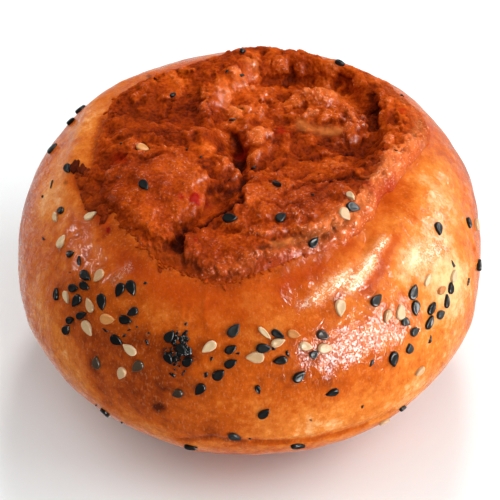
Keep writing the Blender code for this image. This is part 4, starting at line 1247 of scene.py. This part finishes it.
crustLook = {
    "ramp": ((0.0, "eebb84"), (0.25, "d87a2c"), (0.5, "bd520c"), (0.75, "8f3606"), (1.0, "4e1904")),
    "speckColour": "efb97c",
    "oilColour": "b23c06",
    "chilliColour": "7c0e02",
    "scorchColour": "2c1009",
    "paintedGlazeGlintColour": "f6e0c6",
    "noises": {  # size of the features in millimetres, and the texture's own settings
        "cloud": (13.0, {"Detail": 3.0, "Roughness": 0.6}),
        "mottle": (2.4, {"Detail": 5.0, "Roughness": 0.7}),
        "streak": (1.1, {"Detail": 3.0, "Roughness": 0.6}),
        "speck": (0.45, {"Detail": 2.0, "Roughness": 0.5}),
        "wrinkle": (1.0, {"Detail": 3.0, "Distortion": 0.8}),
        "crackle": (0.6, {"Detail": 3.0, "Distortion": 1.2}),
        "pore": (0.35, {"Detail": 2.0}),
    },
    "stretched": ("streak", "speck", "wrinkle"),
    "stretch": 0.45,  # dough stretches downwards as it rises, so its streaks run that way
    "browning": (("cloud", 0.6), ("mottle", 0.75), ("streak", 0.2)),  # what each adds to the baked tone, which also carries painted highlights and shade
    "browningDrop": 0.78,
    "specks": {"From Min": 0.56, "From Max": 0.74, "To Min": 0.0, "To Max": 0.16},
    "oozePatches": (0.8, -0.4),  # how much the clouds break up the oil, and its level
    "oozeShare": 0.75,
    "scorch": (1.6, -0.2),
    "dullness": {"From Min": 0.3, "From Max": 0.7, "To Min": 0.3, "To Max": 0.48},
    "brushed": {"From Min": 0.49, "From Max": 0.56, "To Min": 0.1, "To Max": 1.0},
    "doughDepths": (0.12, 0.02),  # wrinkles and pores of the dough, then of the glaze over it
    "glazeDepths": (0.13, 0.01),
}


def makeCrustMaterial():
    # Brioche crust, egg-washed and baked: golden brown dough under a thin hard glaze, so it has a clear wet
    # gloss that tiny wrinkles break up, and paler specks where the wash was thin
    look = crustLook
    material, tree, shader = newMaterial("eggWashedBriocheCrust", {
        "IOR": 1.45, "Specular IOR Level": 0.02, "Coat Roughness": 0.06, "Coat IOR": 1.42,
        "Subsurface Weight": 0.12, "Subsurface Radius": (1.0, 0.35, 0.12), "Subsurface Scale": 1.6 * mm,
    })
    place = addNode(tree, "ShaderNodeTexCoord").outputs["Object"]
    drawn = addNode(tree, "ShaderNodeMapping", None, {
        "Vector": place, "Scale": (1, 1, look["stretch"])}).outputs["Vector"]
    sources = {}
    for key in ("bakeAndPaintedLight", "oil", "chilli", "scorch", "glaze", "paintedGlazeGlint"):
        sources[key] = addNode(tree, "ShaderNodeAttribute", {"attribute_name": key}).outputs["Fac"]
    for key, (size, settings) in look["noises"].items():
        where = drawn if key in look["stretched"] else place
        sources[key] = addNode(tree, "ShaderNodeTexNoise", None, {
            "Vector": where, "Scale": scaleFor(size), **settings}).outputs["Fac"]
    level = sources["bakeAndPaintedLight"]
    for key, share in look["browning"]:
        level = addNode(tree, "ShaderNodeMath", {"operation": "MULTIPLY_ADD"}, {
            0: sources[key], 1: share, 2: level}).outputs[0]
    level = addNode(tree, "ShaderNodeMath", {"operation": "SUBTRACT"}, {
        0: level, 1: look["browningDrop"]}).outputs[0]
    colour = setRamp(addNode(tree, "ShaderNodeValToRGB", None, {"Fac": level}), look["ramp"])

    specks = addNode(tree, "ShaderNodeMapRange", None, {
        "Value": sources["speck"], **look["specks"]}).outputs["Result"]
    ooze = addNode(tree, "ShaderNodeMath", {"operation": "MULTIPLY_ADD"}, {
        0: sources["cloud"], 1: look["oozePatches"][0], 2: look["oozePatches"][1]}).outputs[0]
    ooze = addNode(tree, "ShaderNodeMath", {"operation": "MULTIPLY_ADD"}, {
        0: sources["oil"], 1: look["oozeShare"], 2: ooze}).outputs[0]
    ooze = addNode(tree, "ShaderNodeMath", {"operation": "MULTIPLY", "use_clamp": True}, {
        0: ooze, 1: sources["oil"]}).outputs[0]
    burnt = addNode(tree, "ShaderNodeMath", {"operation": "MULTIPLY_ADD", "use_clamp": True}, {
        0: sources["scorch"], 1: look["scorch"][0], 2: look["scorch"][1]}).outputs[0]
    # The glaze shines in small broken patches, and the same pattern gives the painted glints in the colour
    brushed = addNode(tree, "ShaderNodeMapRange", None, {
        "Value": sources["crackle"], **look["brushed"]}).outputs["Result"]
    paintedGlintShare = addNode(tree, "ShaderNodeMath", {"operation": "MULTIPLY", "use_clamp": True}, {
        0: brushed, 1: sources["paintedGlazeGlint"]}).outputs[0]
    for share, paint in ((specks, "speckColour"), (ooze, "oilColour"), (sources["chilli"], "chilliColour"),
                         (burnt, "scorchColour"), (paintedGlintShare, "paintedGlazeGlintColour")):
        colour = addNode(tree, "ShaderNodeMix", {"data_type": "RGBA"}, {
            "Factor": share, "A": colour, "B": toLinear(look[paint])}).outputs["Result"]
    tree.links.new(colour, shader.inputs["Base Color"])

    dullness = addNode(tree, "ShaderNodeMapRange", None, {
        "Value": sources["mottle"], **look["dullness"]}).outputs["Result"]
    tree.links.new(dullness, shader.inputs["Roughness"])
    coat = addNode(tree, "ShaderNodeMath", {"operation": "MULTIPLY"}, {
        0: sources["glaze"], 1: brushed}).outputs[0]
    tree.links.new(coat, shader.inputs["Coat Weight"])
    for socket, depths in (("Normal", look["doughDepths"]), ("Coat Normal", look["glazeDepths"])):
        folds = addNode(tree, "ShaderNodeBump", None, {
            "Height": sources["wrinkle"], "Strength": 1.0, "Distance": depths[0] * mm}).outputs["Normal"]
        skin = addNode(tree, "ShaderNodeBump", None, {
            "Height": sources["pore"], "Strength": 1.0, "Distance": depths[1] * mm,
            "Normal": folds}).outputs["Normal"]
        tree.links.new(skin, shader.inputs[socket])
    return material


toppingLook = {
    "ramp": ((0.0, "360a01"), (0.26, "6a1e02"), (0.5, "963304"), (0.76, "c04f0c"), (1.0, "da6c2c")),
    "lightness": (("relief", 0.32), ("paintedLightAndShade", 0.15), ("cloud", 0.9), ("grain", 0.7)),  # what each adds; relief lightens crests and darkens hollows as painted light and shade
    "lightnessStart": -0.285,
    "tints": (  # value, colour and greatest share, one over the other
        ("thin", "8a380a", 0.6),
        ("lip", "ea8444", 0.65),
        ("cheese", "cc7638", 0.6),
        ("edge", "983404", 0.35),
        ("red", "9c1402", 1.0),
        ("burnt", "30100a", 0.9),
    ),
    "paintedSparkColour": "f0b79a",
    "noises": {  # size of the features in millimetres, and the texture's own settings
        "cloud": (8.0, {"Detail": 4.0, "Roughness": 0.6}),
        "grain": (0.6, {"Detail": 3.0, "Roughness": 0.6}),
        "paintedSpark": (0.45, {"Detail": 1.0}),
        "film": (1.8, {"Detail": 2.0}),  # patches where oil has run together and shines
    },
    "paintedSparks": {"From Min": 0.6, "From Max": 0.7, "To Min": 0.0, "To Max": 0.45},
    "crests": {"From Min": 0.0, "From Max": 0.7},
    "lipPaintedSparks": 1.3,
    "dullness": {"From Min": 0.35, "From Max": 0.65, "To Min": 0.45, "To Max": 0.7},
    "films": {"From Min": 0.43, "From Max": 0.55, "To Min": 0.1, "To Max": 1.0},
    "thinDrain": 0.7,  # how much less wet it is where it lies thin on the crust
    "grainDepth": 0.1,
}


def makeToppingMaterial():
    # Baked kimchi, chilli paste and melted cheese: an oily orange-red mass of small granules, wet enough to
    # sparkle, with painted shade that makes it darker and redder in its cracks, painted light on its crests,
    # painted glint specks, and pinkish where cheese has risen
    look = toppingLook
    material, tree, shader = newMaterial("bakedKimchiCheese", {
        "IOR": 1.46, "Specular IOR Level": 0.02, "Coat Roughness": 0.07, "Coat IOR": 1.45,
        "Subsurface Weight": 0.12, "Subsurface Radius": (1.0, 0.25, 0.08), "Subsurface Scale": 1.0 * mm,
    })
    place = addNode(tree, "ShaderNodeTexCoord").outputs["Object"]
    sources = {}
    for key in ("relief", "paintedLightAndShade", "cheese", "thin", "red", "lip", "edge", "burnt"):
        sources[key] = addNode(tree, "ShaderNodeAttribute", {"attribute_name": key}).outputs["Fac"]
    for key, (size, settings) in look["noises"].items():
        sources[key] = addNode(tree, "ShaderNodeTexNoise", None, {
            "Vector": place, "Scale": scaleFor(size), **settings}).outputs["Fac"]
    level = look["lightnessStart"]
    for key, share in look["lightness"]:
        level = addNode(tree, "ShaderNodeMath", {"operation": "MULTIPLY_ADD"}, {
            0: sources[key], 1: share, 2: level}).outputs[0]
    colour = setRamp(addNode(tree, "ShaderNodeValToRGB", None, {"Fac": level}), look["ramp"])
    for key, paint, most in look["tints"]:
        share = addNode(tree, "ShaderNodeMath", {"operation": "MULTIPLY", "use_clamp": True}, {
            0: sources[key], 1: most}).outputs[0]
        colour = addNode(tree, "ShaderNodeMix", {"data_type": "RGBA"}, {
            "Factor": share, "A": colour, "B": toLinear(paint)}).outputs["Result"]

    # Painted glints: bright specks on the crests and along the lip, but not on the red oil
    paintedSpark = addNode(tree, "ShaderNodeMapRange", None, {
        "Value": sources["paintedSpark"], **look["paintedSparks"]}).outputs["Result"]
    crest = addNode(tree, "ShaderNodeMapRange", None, {
        "Value": sources["relief"], **look["crests"]}).outputs["Result"]
    paintedSparkPlaces = addNode(tree, "ShaderNodeMath", {"operation": "MULTIPLY_ADD"}, {
        0: sources["lip"], 1: look["lipPaintedSparks"], 2: crest}).outputs[0]
    plain = addNode(tree, "ShaderNodeMath", {"operation": "SUBTRACT", "use_clamp": True}, {
        0: 1.0, 1: sources["red"]}).outputs[0]
    for share in (paintedSparkPlaces, plain):
        paintedSpark = addNode(tree, "ShaderNodeMath", {"operation": "MULTIPLY"}, {0: paintedSpark, 1: share}).outputs[0]
    colour = addNode(tree, "ShaderNodeMix", {"data_type": "RGBA"}, {
        "Factor": paintedSpark, "A": colour, "B": toLinear(look["paintedSparkColour"])}).outputs["Result"]
    tree.links.new(colour, shader.inputs["Base Color"])

    dullness = addNode(tree, "ShaderNodeMapRange", None, {
        "Value": sources["grain"], **look["dullness"]}).outputs["Result"]
    tree.links.new(dullness, shader.inputs["Roughness"])
    wet = addNode(tree, "ShaderNodeMapRange", None, {
        "Value": sources["film"], **look["films"]}).outputs["Result"]
    drained = addNode(tree, "ShaderNodeMath", {"operation": "MULTIPLY_ADD", "use_clamp": True}, {
        0: sources["thin"], 1: -look["thinDrain"], 2: 1.0}).outputs[0]
    for share in (crest, drained):
        wet = addNode(tree, "ShaderNodeMath", {"operation": "MULTIPLY"}, {0: wet, 1: share}).outputs[0]
    tree.links.new(wet, shader.inputs["Coat Weight"])
    coarse = addNode(tree, "ShaderNodeBump", None, {
        "Height": sources["grain"], "Strength": 1.0, "Distance": look["grainDepth"] * mm}).outputs["Normal"]
    tree.links.new(coarse, shader.inputs["Normal"])
    tree.links.new(coarse, shader.inputs["Coat Normal"])
    return material


seedLooks = {
    "b": {"name": "blackSesameHull", "colours": ("060707", "131514"), "roughness": 0.5, "coat": 0.35},
    "w": {"name": "whiteSesameHull", "colours": ("b99066", "d1b68e"), "roughness": 0.5, "coat": 0.2},
    "n": {"name": "brownSesameHull", "colours": ("2f241a", "4a3a29"), "roughness": 0.4, "coat": 0.3},
    "t": {"name": "toastedSesameHull", "colours": ("b06a30", "cc8a4c"), "roughness": 0.45, "coat": 0.35},
    "g": {"name": "greySesameHull", "colours": ("1e2020", "343736"), "roughness": 0.45, "coat": 0.2},
}
hull = {"ribSize": 0.5, "ribDepth": 0.03, "ribTone": (0.6, -0.3)}


def makeSeedMaterial(look):
    # Sesame hull: thin, dry and finely ridged, with a soft sheen that shows its ribs
    material, tree, shader = newMaterial(look["name"], {
        "IOR": 1.47, "Specular IOR Level": 0.12, "Coat Weight": look["coat"], "Coat Roughness": 0.16})
    place = addNode(tree, "ShaderNodeTexCoord").outputs["Object"]
    tone = addNode(tree, "ShaderNodeAttribute", {"attribute_name": "tone"}).outputs["Fac"]
    fine = addNode(tree, "ShaderNodeTexNoise", None, {
        "Vector": place, "Scale": scaleFor(hull["ribSize"]), "Detail": 3.0}).outputs["Fac"]
    level = addNode(tree, "ShaderNodeMath", {"operation": "MULTIPLY_ADD", "use_clamp": True}, {
        0: fine, 1: hull["ribTone"][0], 2: hull["ribTone"][1]}).outputs[0]
    level = addNode(tree, "ShaderNodeMath", {"operation": "ADD", "use_clamp": True}, {
        0: tone, 1: level}).outputs[0]
    dark, light = look["colours"]
    colour = addNode(tree, "ShaderNodeMix", {"data_type": "RGBA"}, {
        "Factor": level, "A": toLinear(dark), "B": toLinear(light)}).outputs["Result"]
    tree.links.new(colour, shader.inputs["Base Color"])
    shader.inputs["Roughness"].default_value = look["roughness"]
    ribs = addNode(tree, "ShaderNodeBump", None, {
        "Height": fine, "Strength": 1.0, "Distance": hull["ribDepth"] * mm}).outputs["Normal"]
    tree.links.new(ribs, shader.inputs["Normal"])
    return material


board = {"size": 3.0, "colour": "eef3f4", "roughness": 0.6}
# Name, azimuth, elevation, distance, width and height in metres, power in watts, and which part of a surface
# sees the lamp: its dull colour or its gloss
lamps = (
    ("windowKey", 46, 9, 0.6, 0.36, 0.17, 1.8, "dull"),
    ("windowGlint", 47, 2, 0.6, 0.46, 0.34, 14.0, "gloss"),
    ("highGlint", 72, 50, 0.9, 0.4, 0.3, 11.0, "gloss"),
    ("backWindow", 172, 50, 1.0, 0.2, 0.15, 3.4, "dull"),
    ("backGlint", 172, 50, 1.0, 0.2, 0.15, 5.0, "gloss"),
    ("rightWall", 88, 38, 1.0, 0.8, 0.7, 7.4, "dull"),
    ("sideGlint", 108, 13, 0.8, 0.4, 0.24, 3.0, "gloss"),
    ("leftGlint", -100, 20, 0.8, 0.1, 0.07, 0.8, "gloss"),
    ("leftFill", -105, 42, 1.0, 0.9, 0.9, 4.2, "dull"),
    ("ceiling", 10, 74, 1.1, 1.0, 1.0, 4.4, "dull"),
)
room = {
    "aimHeight": 0.03,
    "dark": 0.12,  # light from the room, and from the white sheet behind and under the bun
    "bright": 0.8,
    "behind": {"From Min": 0.1, "From Max": 0.5},
    "low": {"From Min": 0.3, "From Max": 0.0},
}


def makeFloor():
    half = board["size"] / 2 / mm
    corners = [(-half, -half, 0), (half, -half, 0), (half, half, 0), (-half, half, 0)]
    obj = makeMesh("floor", corners, [(0, 1, 2, 3)])
    material, _, shader = newMaterial("matteBoard", {
        "Roughness": board["roughness"], "Base Color": toLinear(board["colour"])})
    obj.data.materials.append(material)
    obj.visible_glossy = False  # the glaze would mirror it and look milky


def makeLights():
    for name, azimuth, elevation, distance, width, height, power, seenBy in lamps:
        data = bpy.data.lights.new(name, "AREA")
        data.shape = "RECTANGLE"
        data.size, data.size_y, data.energy = width, height, power
        obj = bpy.data.objects.new(name, data)
        turn, rise = math.radians(azimuth), math.radians(elevation)
        aim = Vector((math.sin(turn) * math.cos(rise), -math.cos(turn) * math.cos(rise), math.sin(rise)))
        obj.location = aim * distance + Vector((0, 0, room["aimHeight"]))
        obj.rotation_euler = aim.to_track_quat("Z", "Y").to_euler()
        obj.visible_camera = False
        obj.visible_glossy = seenBy != "dull"
        obj.visible_diffuse = seenBy != "gloss"
        bpy.context.scene.collection.objects.link(obj)
    world = bpy.data.worlds.new("softRoom")
    world.use_nodes = True
    tree = world.node_tree
    towards = addNode(tree, "ShaderNodeTexCoord").outputs["Generated"]
    axes = addNode(tree, "ShaderNodeSeparateXYZ", None, {0: towards}).outputs
    behind = addNode(tree, "ShaderNodeMapRange", None, {
        "Value": axes["Y"], **room["behind"]}).outputs["Result"]
    low = addNode(tree, "ShaderNodeMapRange", None, {
        "Value": axes["Z"], **room["low"]}).outputs["Result"]
    sheet = addNode(tree, "ShaderNodeMath", {"operation": "MULTIPLY"}, {0: behind, 1: low}).outputs[0]
    strength = addNode(tree, "ShaderNodeMapRange", None, {
        "Value": sheet, "To Min": room["dark"], "To Max": room["bright"]}).outputs["Result"]
    sky = tree.nodes["Background"]
    sky.inputs["Color"].default_value = (1, 1, 1, 1)
    tree.links.new(strength, sky.inputs["Strength"])
    bpy.context.scene.world = world
    bpy.context.scene.view_settings.view_transform = "Standard"


makeCamera()
print("camera placed")
crustObject, plainCrust, fineCrust = makeCrust()
print("crust made:", len(crustObject.data.polygons), "faces")
toppingObject, plainTopping, fineTopping = makeTopping()
print("topping made:", len(toppingObject.data.polygons), "faces")
scrapsObject = makeScraps(plainCrust, fineCrust)
seedObjects = makeSeeds((plainCrust, fineCrust), (plainTopping, fineTopping))
print("seeds made:", sum(len(obj.data.polygons) for obj in seedObjects.values()), "faces")

crustObject.data.materials.append(makeCrustMaterial())
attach(crustObject, "root")
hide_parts("bun")
toppingMaterial = makeToppingMaterial()
for obj in (toppingObject, scrapsObject):
    obj.data.materials.append(toppingMaterial)
    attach(obj, "root")
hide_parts("kimchi_cheese_topping")
for kind, obj in seedObjects.items():
    obj.data.materials.append(makeSeedMaterial(seedLooks[kind]))
    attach(obj, "root")
print("materials made")
makeFloor()
makeLights()
print("floor and light made")
